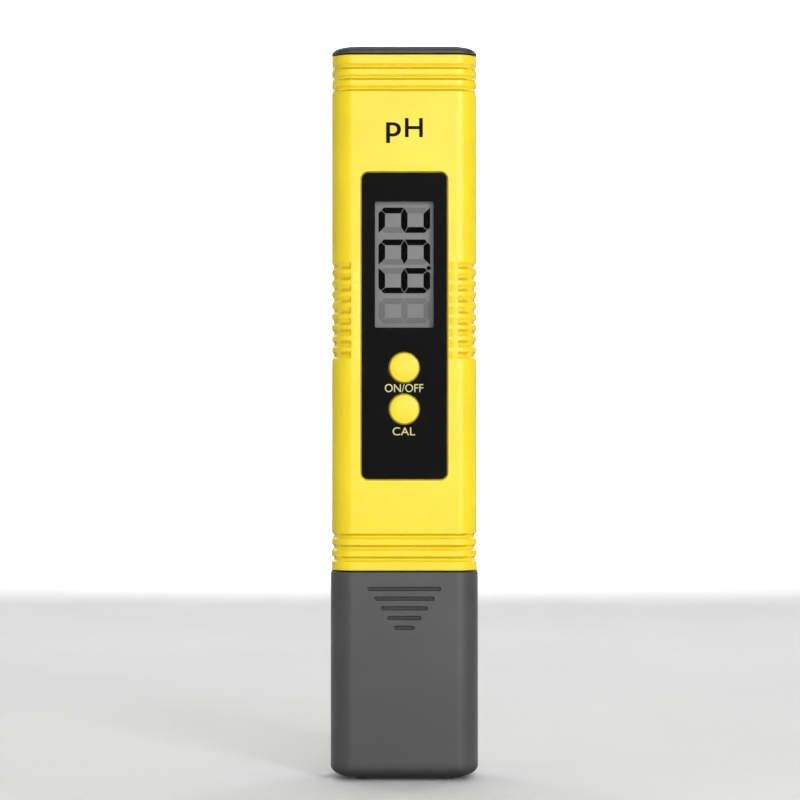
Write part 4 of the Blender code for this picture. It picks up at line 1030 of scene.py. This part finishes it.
def display():
    """Display glass with its grey film, the lit bars and the faint unlit ones."""
    front = -GLASS_LOW.y
    stack = soft_plate(front_size(GLASS_LOW, GLASS_HIGH), 0.15, -GLASS_HIGH.y, front, 0.05, 0.05, 2,
                       facing="front", centre=(0.0, DISPLAY_Z))
    add_piece("display_glass_stack", stack, CRYSTAL_FILM, "meter", "display_glass")
    faint = bmesh.new()
    lit = bmesh.new()
    for offset, bars in READING:
        height = DISPLAY_Z + offset
        add_bars(faint, height, "abcdefg", front - 0.02, front + 0.02)
        add_bars(lit, height, bars, front - 0.02, front + 0.05)
    loft(circle(0.45, 32), [(front - 0.02, 0.0), (front + 0.05, 0.0)], facing="front",
         centre=(POINT_PLACE[0], DISPLAY_Z + POINT_PLACE[1]), shape=lit)
    add_piece("display_faint_bars", faint, FAINT_SEGMENT, "meter", sharp=20.0)
    add_piece("display_lit_bars", lit, LIT_SEGMENT, "meter", sharp=20.0)


def lettering(name, words, width, height, centre, level, material, bold=0.0):
    """Printed letters as thin raised ink on a front face, fitted to a width and a height."""
    curve = bpy.data.curves.new(name + "_curve", "FONT")
    curve.body = words
    curve.extrude = 0.5
    curve.resolution_u = 6
    curve.offset = bold
    guide = bpy.data.objects.new(name + "_guide", curve)
    bpy.context.scene.collection.objects.link(guide)
    evaluated = guide.evaluated_get(bpy.context.evaluated_depsgraph_get())
    mesh = bpy.data.meshes.new_from_object(evaluated)
    bpy.data.objects.remove(guide)
    shape = bmesh.new()
    shape.from_mesh(mesh)
    bpy.data.meshes.remove(mesh)
    bmesh.ops.remove_doubles(shape, verts=shape.verts, dist=0.0001)
    xs = [vert.co.x for vert in shape.verts]
    ys = [vert.co.y for vert in shape.verts]
    ink = 0.02
    for vert in shape.verts:
        across = (vert.co.x - (min(xs) + max(xs)) / 2.0) * width / (max(xs) - min(xs))
        up = (vert.co.y - (min(ys) + max(ys)) / 2.0) * height / (max(ys) - min(ys))
        vert.co = (centre[0] + across, -(level + vert.co.z * ink), centre[1] + up)
    bmesh.ops.recalc_face_normals(shape, faces=shape.faces)
    add_piece(name, shape, material, "meter", sharp=30.0)


def front_printing():
    """Generic words for the two keys and for what the meter measures."""
    lettering("key_word_power", "ON/OFF", 8.1, 1.72, (-0.05, 82.72), PANEL_FRONT, PALE_INK)
    lettering("key_word_calibrate", "CAL", 4.72, 1.70, (-0.1, 73.62), PANEL_FRONT, PALE_INK)
    lettering("quantity_letter_p", "p", 3.15, 4.40, (-2.27, 136.55), CASE_FACE, BLACK_INK, 0.013)
    lettering("quantity_letter_h", "H", 3.78, 4.05, (2.02, 137.62), CASE_FACE, BLACK_INK, 0.014)


# ---------------------------------------------------------------- cap and lid


def cap_lines():
    """Cutters of the grip lines on both broad faces of the cap."""
    shape = bmesh.new()
    face = -CAP_LOW.y
    for facing in ("front", "rear"):
        for index, width in enumerate(CAP_LINE_WIDTHS):
            outline = rounded(width, CAP_LINE_HEIGHT, CAP_LINE_HEIGHT / 2.0 - 0.02, even_turns(6))
            centre = (0.0, CAP_LINE_TOP - CAP_LINE_PITCH * index)
            sink(outline, face - CAP_LINE_DEPTH, face, 0.1, facing, centre, shape=shape, floor=0.3)
    return shape


def cap_recess(place):
    """Painted shade in the grip lines and on the cap's heel, which darkens towards the foot."""
    climb = (FOOT_HEIGHT + CAP_HEEL + 1.2 - place.z) / (CAP_HEEL + 1.2)
    if climb > 0.0:
        return HEEL_SHADE * smooth_step(climb) if place.z > FOOT_HEIGHT - 0.05 else 0.0
    inset = CAP_HIGH.y - abs(place.y)
    below = round((CAP_LINE_TOP - place.z) / CAP_LINE_PITCH)
    if not 0 <= below < len(CAP_LINE_WIDTHS) or inset > CAP_LINE_DEPTH + 0.1:
        return 0.0
    return CAP_LINE_SHADE * smooth_step(inset / (CAP_LINE_DEPTH * 0.6))


def protective_cap():
    outline = rounded(CAP_HIGH.x * 2.0, CAP_HIGH.y * 2.0, CAP_CORNER, even_turns(14))
    shape = loft(outline, rise(FOOT_HEIGHT, CAP_HEEL, 12) + [(FOOT_HEIGHT + CAP_HEEL + 1.2, 0.0)]
                 + fall(CAP_HIGH.z, 0.25))
    draw_in(shape, FOOT_HEIGHT + CAP_HEEL, FOOT_HEIGHT, CAP_HIGH.xy * 2.0, HEEL_REACH)
    foot = soft_plate(FOOT_SIZE, 3.0, 0.0, FOOT_HEIGHT + 0.4, 0.12, 0.0)
    shape = combined(shape, foot, "UNION")
    well = loft(rounded(*INNER_SIZE, INNER_CORNER), rise(CAP_FLOOR, 0.6, 4) + [(CAP_HIGH.z + 1.0, 0.0)])
    shape = combined(shape, well)
    shape = combined(shape, cap_lines())
    # The cap takes painted shade in its grip lines and on its heel.
    add_piece("protective_cap_skin", shape, CAP_GREY, "protective_cap", "protective_cap",
              recess=cap_recess)


def battery_lid():
    outline = rounded(CASE_WIDTH, CASE_DEPTH, CASE_CORNER, even_turns(14))
    low = CASE_TOP + 0.25
    shape = loft(outline, rise(low, 0.15, 3) + fall(LID_HIGH.z, LID_EDGE, 10))
    draw_in(shape, LID_HIGH.z - LID_EDGE, LID_HIGH.z, (CASE_WIDTH, CASE_DEPTH), LID_REACH)
    skirt = soft_plate(HOLDER_SIZE, HOLDER_CORNER, LID_LOW.z, low + 0.4, 0.3, 0.0, 4)
    shape = combined(shape, skirt, "UNION")
    hollow_size = (HOLDER_SIZE[0] - 4.0, HOLDER_SIZE[1] - 4.0)
    shape = combined(shape, loft(rounded(*hollow_size, 1.0), [(LID_LOW.z - 1.0, 0.0), (low, 0.0)]))
    shape = combined(shape, ring_seal("lid_seal", SEAL_GROOVE))
    add_piece("battery_lid_skin", shape, LID_GREY, "battery_drawer", "battery_lid")
    add_piece("lid_seal_ring", ring_seal("lid_seal", SEAL_RADIUS), SEAL, "battery_drawer", "lid_seal")


# ---------------------------------------------------------------- electrode


def electrode_holder():
    shape = soft_plate(HOLDER_SIZE, HOLDER_CORNER, HOLDER_LOW.z, HOLDER_HIGH.z, 0.5, 0.1)
    flange = soft_plate(FLANGE_SIZE, FLANGE_CORNER, *HOLDER_FLANGE, 0.1, 0.1, 2)
    shape = combined(shape, flange, "UNION")
    below = (HOLDER_LOW.z - 1.0, 0.0)
    above = (HOLDER_HIGH.z + 1.0, 0.0)
    pockets = bmesh.new()
    for x in (-POCKET_X, POCKET_X):
        loft(rounded(*POCKET_SIZE, 1.0), [(POCKET_FLOOR, 0.0), above], centre=(x, 0.0), shape=pockets)
    shape = combined(shape, pockets)
    shape = combined(shape, loft(circle(TUBE_HIGH.x + GAP), [below, above]))
    probe_bore = loft(circle(PROBE_RADIUS + GAP), [below, (POCKET_FLOOR + 0.6, 0.0)],
                      centre=(PROBE_X, 0.0))
    shape = combined(shape, probe_bore)
    shape = combined(shape, ring_seal("cap_seal", SEAL_GROOVE))
    add_piece("electrode_holder_skin", shape, INNER_BLACK, "meter", "electrode_holder")
    add_piece("cap_seal_ring", ring_seal("cap_seal", SEAL_RADIUS), SEAL, "meter", "cap_seal")


def electrode_tube():
    """Sleeve cut into four guard fingers with round slot ends."""
    outer = TUBE_HIGH.x
    bore = 3.6
    low, high = TUBE_LOW.z, TUBE_HIGH.z
    edge = 0.4
    profile = [(bore, high), (outer - 0.15, high), (outer, high - 0.15),
               *arc((outer - edge, low + edge), edge, 0.0, -90.0, 6), (bore, low)]
    shape = turned(profile, 96, closed=True)
    slot_top = 22.5
    slot_half = 1.5
    tall = 12.0
    outline = rounded(2.0 * slot_half, tall, slot_half - 0.02, even_turns(8))
    for turn in (0.0, 90.0):
        slot = loft(outline, [(-8.0, 0.0), (8.0, 0.0)], facing="front",
                    centre=(0.0, slot_top - tall / 2.0))
        matrix = Matrix.Rotation(math.radians(turn), 3, "Z")
        bmesh.ops.rotate(slot, cent=(0.0, 0.0, 0.0), matrix=matrix, verts=slot.verts)
        shape = combined(shape, slot)
    add_piece("electrode_tube_sleeve", shape, INNER_BLACK, "meter", "electrode_tube")


def glass_electrode():
    """Thin glass stem that swells into the sensing bulb."""
    stem, bulb, wall = 2.3, STEM_HIGH.x, 0.5
    middle = STEM_LOW.z + bulb
    neck = math.degrees(math.asin(stem / bulb))
    inner_neck = math.degrees(math.asin((stem - wall) / (bulb - wall)))
    outside = arc((0.0, middle), bulb, -90.0, 90.0 - neck, 22)
    inside = arc((0.0, middle), bulb - wall, 90.0 - inner_neck, -90.0, 20)
    outside[0] = (0.0, STEM_LOW.z)
    inside[-1] = (0.0, STEM_LOW.z + wall)
    rim = [(stem, STEM_HIGH.z - 0.2), (stem - wall / 2.0, STEM_HIGH.z), (stem - wall, STEM_HIGH.z - 0.2)]
    shape = turned([*outside, *rim, *inside])
    add_piece("glass_electrode_bulb", shape, BULB, "meter", "glass_electrode", sharp=60.0)


def temperature_probe():
    dome = arc((0.0, PROBE_LOW.z + PROBE_RADIUS), PROBE_RADIUS, -90.0, 0.0, 10)
    dome[0] = (0.0, PROBE_LOW.z)
    shape = turned([*dome, (PROBE_RADIUS, PROBE_HIGH.z), (0.0, PROBE_HIGH.z)], 48,
                   centre=(PROBE_X, 0.0))
    add_piece("temperature_probe_sleeve", shape, STEEL, "meter", "temperature_probe")


def storage_sponge():
    """Sponge block: a subdivided soft form with an uneven, open surface."""
    margin = 0.22
    size = grown((SPONGE_HIGH.x * 2.0, SPONGE_HIGH.y * 2.0), -margin)
    levels = rise(SPONGE_LOW.z + margin, 0.7, 3) + fall(SPONGE_HIGH.z - margin, 0.9, 4)
    shape = loft(rounded(*size, 2.2, even_turns(5)), levels)
    for face in [face for face in shape.faces if len(face.verts) > 4]:
        bmesh.ops.inset_region(shape, faces=[face], thickness=1.2, depth=0.0)
    bmesh.ops.triangulate(shape, faces=shape.faces)
    for _ in range(5):
        long_edges = [edge for edge in shape.edges if edge.calc_length() > 0.75]
        if not long_edges:
            break
        bmesh.ops.subdivide_edges(shape, edges=long_edges, cuts=1)
        bmesh.ops.triangulate(shape, faces=shape.faces)
    bmesh.ops.recalc_face_normals(shape, faces=shape.faces)
    shape.normal_update()
    moves = []
    for vert in shape.verts:
        pit = noise.noise(vert.co * 1.1) * 0.12 + noise.noise(vert.co * 3.1) * 0.09
        moves.append(vert.normal * pit)
    for vert, move in zip(shape.verts, moves):
        vert.co += move
    add_piece("storage_sponge_block", shape, SPONGE, "protective_cap", "storage_sponge", sharp=80.0)


# ---------------------------------------------------------------- screws and cells


def screw(name, head_radius, head_height, shank_radius):
    """Pan-head screw with a domed head and a cross recess, driven from the rear."""
    low, high = span(name)
    place = front_centre(low, high)
    top = high.y
    under = top - head_height
    dome = [(0.0, top), (head_radius * 0.45, top - 0.03), (head_radius * 0.75, top - 0.14),
            (head_radius * 0.93, top - 0.34), (head_radius, top - 0.55), (head_radius, under)]
    shank = [(shank_radius, under), (shank_radius, low.y + 0.6), (shank_radius * 0.3, low.y),
             (0.0, low.y)]
    shape = turned([*dome, *shank][::-1], 48, facing="rear", centre=(-place[0], place[1]))
    arm = head_radius * 0.58
    slot = 0.22
    deep = head_height * 0.7
    for wide, tall in ((arm, slot), (slot, arm)):
        corners = [(-wide, -tall), (wide, -tall), (wide, tall), (-wide, tall)]
        taper = 0.55
        cutter = bmesh.new()
        rings = []
        for level, share in ((top - deep, taper), (top + 0.3, 1.0)):
            rings.append([(place[0] + x * share, level, place[1] + z * share) for x, z in corners])
        skin(cutter, rings)
        bmesh.ops.recalc_face_normals(cutter, faces=cutter.faces)
        shape = combined(shape, cutter)
    add_piece(name + "_turned", shape, STEEL, "meter", name, sharp=32.0)


def button_cell(name):
    """Button cell with a rolled edge, a stepped contact face and a stamped plus sign."""
    low, high = span(name)
    radius = (high.x - low.x) / 2.0
    place = front_centre(low, high)
    front, back = low.y, high.y
    edge = 0.45
    inner = radius - 1.05
    profile = [
        (0.0, front), (inner - 0.25, front), (inner, front + 0.2), (inner + 0.1, front + 0.55),
        *arc((radius - edge, front + 0.62 + edge), edge, -70.0, 0.0, 4),
        *arc((radius - edge, back - edge), edge, 0.0, 90.0, 6), (0.0, back),
    ]
    shape = turned(profile, 72, facing="rear", centre=(-place[0], place[1]))
    sign = rounded(2.6, 0.5, 0.2, even_turns(4))
    for turn in (False, True):
        levels = [(back - 0.12, 0.0), (back + 0.5, 0.0)]
        outline = [(Vector((-p.y, p.x)), Vector((-o.y, o.x))) for p, o in sign] if turn else sign
        shape = combined(shape, loft(outline, levels, facing="rear", centre=(-place[0], place[1])))
    add_piece(name + "_can", shape, CELL_STEEL, "battery_drawer", name, "steel", sharp=32.0)


# ---------------------------------------------------------------- CAD nodes that keep their shape

KEPT = {
    "display_frame": INNER_BLACK, "zebra_strip_left": ZEBRA, "zebra_strip_right": ZEBRA,
    "main_board": BOARD, "microcontroller": CHIP, "amplifier_chip": CHIP, "crystal": STEEL,
    "capacitor": CAPACITOR, "power_switch": INNER_BLACK, "cal_switch": INNER_BLACK,
    "power_plunger": WHITE, "cal_plunger": WHITE, "reference_junction": CERAMIC,
    "stem_seal": SEAL, "electrode_plug": EPOXY, "inner_electrode_wire": SILVER,
    "reference_wire": SILVER, "electrode_lead": RED_WIRE, "reference_lead": BLACK_WIRE,
    "temperature_lead": WHITE_WIRE, "battery_tray": INNER_BLACK, "battery_bridge": SPRING,
    "battery_contact_left": SPRING, "battery_contact_right": SPRING,
}


def keep_cad_nodes():
    """Better materials, and soft edges where they can be seen, on the shapes that stay."""
    for name, material in KEPT.items():
        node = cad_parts[name]
        node.data.materials.clear()
        node.data.materials.append(material)
    for name in ("battery_tray", "battery_bridge", "battery_contact_left", "battery_contact_right"):
        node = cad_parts[name]
        weld = node.modifiers.new("weld", "WELD")
        weld.merge_threshold = 0.000002
        bevel = node.modifiers.new("soft_edges", "BEVEL")
        bevel.width = 0.00012 if name == "battery_tray" else 0.00005
        bevel.segments = 2
        bevel.limit_method = "ANGLE"
        bevel.angle_limit = math.radians(40.0)
        node.modifiers.new("even_shading", "WEIGHTED_NORMAL")


# ---------------------------------------------------------------- studio, in metres

STAGE_FLAT = 0.85                    # radius of the flat floor
STAGE_BEND = 0.35                    # radius of the sweep up into the wall
STAGE_HEIGHT = 1.6


def stage():
    """Pale floor that sweeps up into a round wall, far enough off for any view."""
    bend = [(STAGE_FLAT + y, STAGE_BEND + x)
            for x, y in arc((0.0, 0.0), STAGE_BEND, 180.0, 90.0, 9)]
    profile = [(0.3, 0.0), (0.6, 0.0), *bend, (STAGE_FLAT + STAGE_BEND, STAGE_HEIGHT)]
    steps = 96
    shape = bmesh.new()
    rows = []
    for radius, height in profile:
        turns = [2.0 * math.pi * i / steps for i in range(steps)]
        rows.append([shape.verts.new((radius * math.cos(turn), radius * math.sin(turn), height))
                     for turn in turns])
    shape.faces.new(rows[0])
    for lower, upper in zip(rows, rows[1:]):
        for i in range(steps):
            j = (i + 1) % steps
            shape.faces.new((lower[j], lower[i], upper[i], upper[j]))
    mesh = bpy.data.meshes.new("floor_sweep")
    shape.to_mesh(mesh)
    shape.free()
    mesh.shade_smooth()
    finish = Finish("floor_paint")
    body = finish.mix(finish.patches(120.0, 0.3, 0.7), (0.80, 0.80, 0.80), (0.83, 0.83, 0.83))
    mesh.materials.append(finish.done(body, 0.75, Specular_IOR_Level=0.2))
    floor = bpy.data.objects.new("floor_sweep", mesh)
    bpy.context.scene.collection.objects.link(floor)


def area_light(name, place, target, size, power, spread):
    data = bpy.data.lights.new(name, "AREA")
    data.spread = math.radians(spread)
    data.shape = "RECTANGLE"
    data.size, data.size_y = size
    data.energy = power
    light = bpy.data.objects.new(name, data)
    light.location = place
    light.rotation_euler = (Vector(target) - Vector(place)).to_track_quat("-Z", "Y").to_euler()
    light.visible_camera = False
    bpy.context.scene.collection.objects.link(light)


def lights():
    """A key and a broad front light, light on the wall and the floor, and small rim glints."""
    middle = (0.0, 0.0, 0.080)
    for name, place, target, size, power, spread in (
            ("key_light", (0.20, -0.33, 0.125), middle, (0.06, 0.19), 0.095, 110.0),
            ("front_light", (0.12, -0.62, 0.20), middle, (0.46, 0.34), 0.74, 110.0),
            ("wall_light", (0.0, 0.35, 0.35), (0.0, 1.2, 0.15), (0.5, 0.3), 4.0, 80.0),
            ("floor_light", (0.0, 0.30, 1.30), (0.0, 0.20, 0.0), (1.2, 1.2), 6.0, 180.0),
            ("rim_light", (0.19, -0.37, 0.27), (0.0, 0.0, 0.085), (0.08, 0.08), 0.22, 180.0),
            ("left_glint", (-0.30, 0.36, 0.34), middle, (0.08, 0.08), 0.30, 180.0),
            ("right_glint", (0.30, 0.36, 0.34), middle, (0.08, 0.08), 0.30, 180.0)):
        area_light(name, place, target, size, power, spread)
    world = bpy.data.worlds.new("studio")
    world.use_nodes = True
    background = world.node_tree.nodes["Background"]
    background.inputs["Color"].default_value = (1.0, 1.0, 1.0, 1.0)
    background.inputs["Strength"].default_value = 0.12
    bpy.context.scene.world = world
    bpy.context.scene.view_settings.view_transform = "Standard"


EYE_DISTANCE = 498.0                 # from the case's front face
EYE_HEIGHT = 74.0
VIEW_HEIGHT = 168.35                  # what the view covers in the plane of that face
VIEW_MIDDLE = (-0.91, 80.21)
SENSOR = 36.0


def camera():
    data = bpy.data.cameras.new("camera")
    data.sensor_width = SENSOR
    eye = Vector((VIEW_MIDDLE[0], -CASE_FACE - EYE_DISTANCE, EYE_HEIGHT))
    target = Vector((VIEW_MIDDLE[0], -CASE_FACE, VIEW_MIDDLE[1]))
    data.lens = SENSOR * (target - eye).length / VIEW_HEIGHT
    data.clip_start = 0.01
    data.clip_end = 10.0
    thing = bpy.data.objects.new("camera", data)
    thing.location = eye * MM
    thing.rotation_euler = (target - eye).to_track_quat("-Z", "Y").to_euler()
    bpy.context.scene.collection.objects.link(thing)
    bpy.context.scene.camera = thing


# ---------------------------------------------------------------- assembly


def build():
    for make in (protective_cap, storage_sponge, front_shell, rear_shell, rear_label, face_panel,
                 display_window, display, front_printing):
        make()
    push_button("power_button", "power_key", BUTTON_PLACES[0])
    push_button("cal_button", "cal_key", BUTTON_PLACES[1])
    for make in (battery_lid, electrode_holder, electrode_tube, glass_electrode, temperature_probe):
        make()
    for place in ("upper", "lower"):
        screw("case_screw_" + place, *CASE_SCREW)
    for place in ("left", "right", "lower"):
        screw("board_screw_" + place, *BOARD_SCREW)
    for side in ("left", "right"):
        button_cell("battery_cell_" + side)
    keep_cad_nodes()


build()
stage()
lights()
camera()
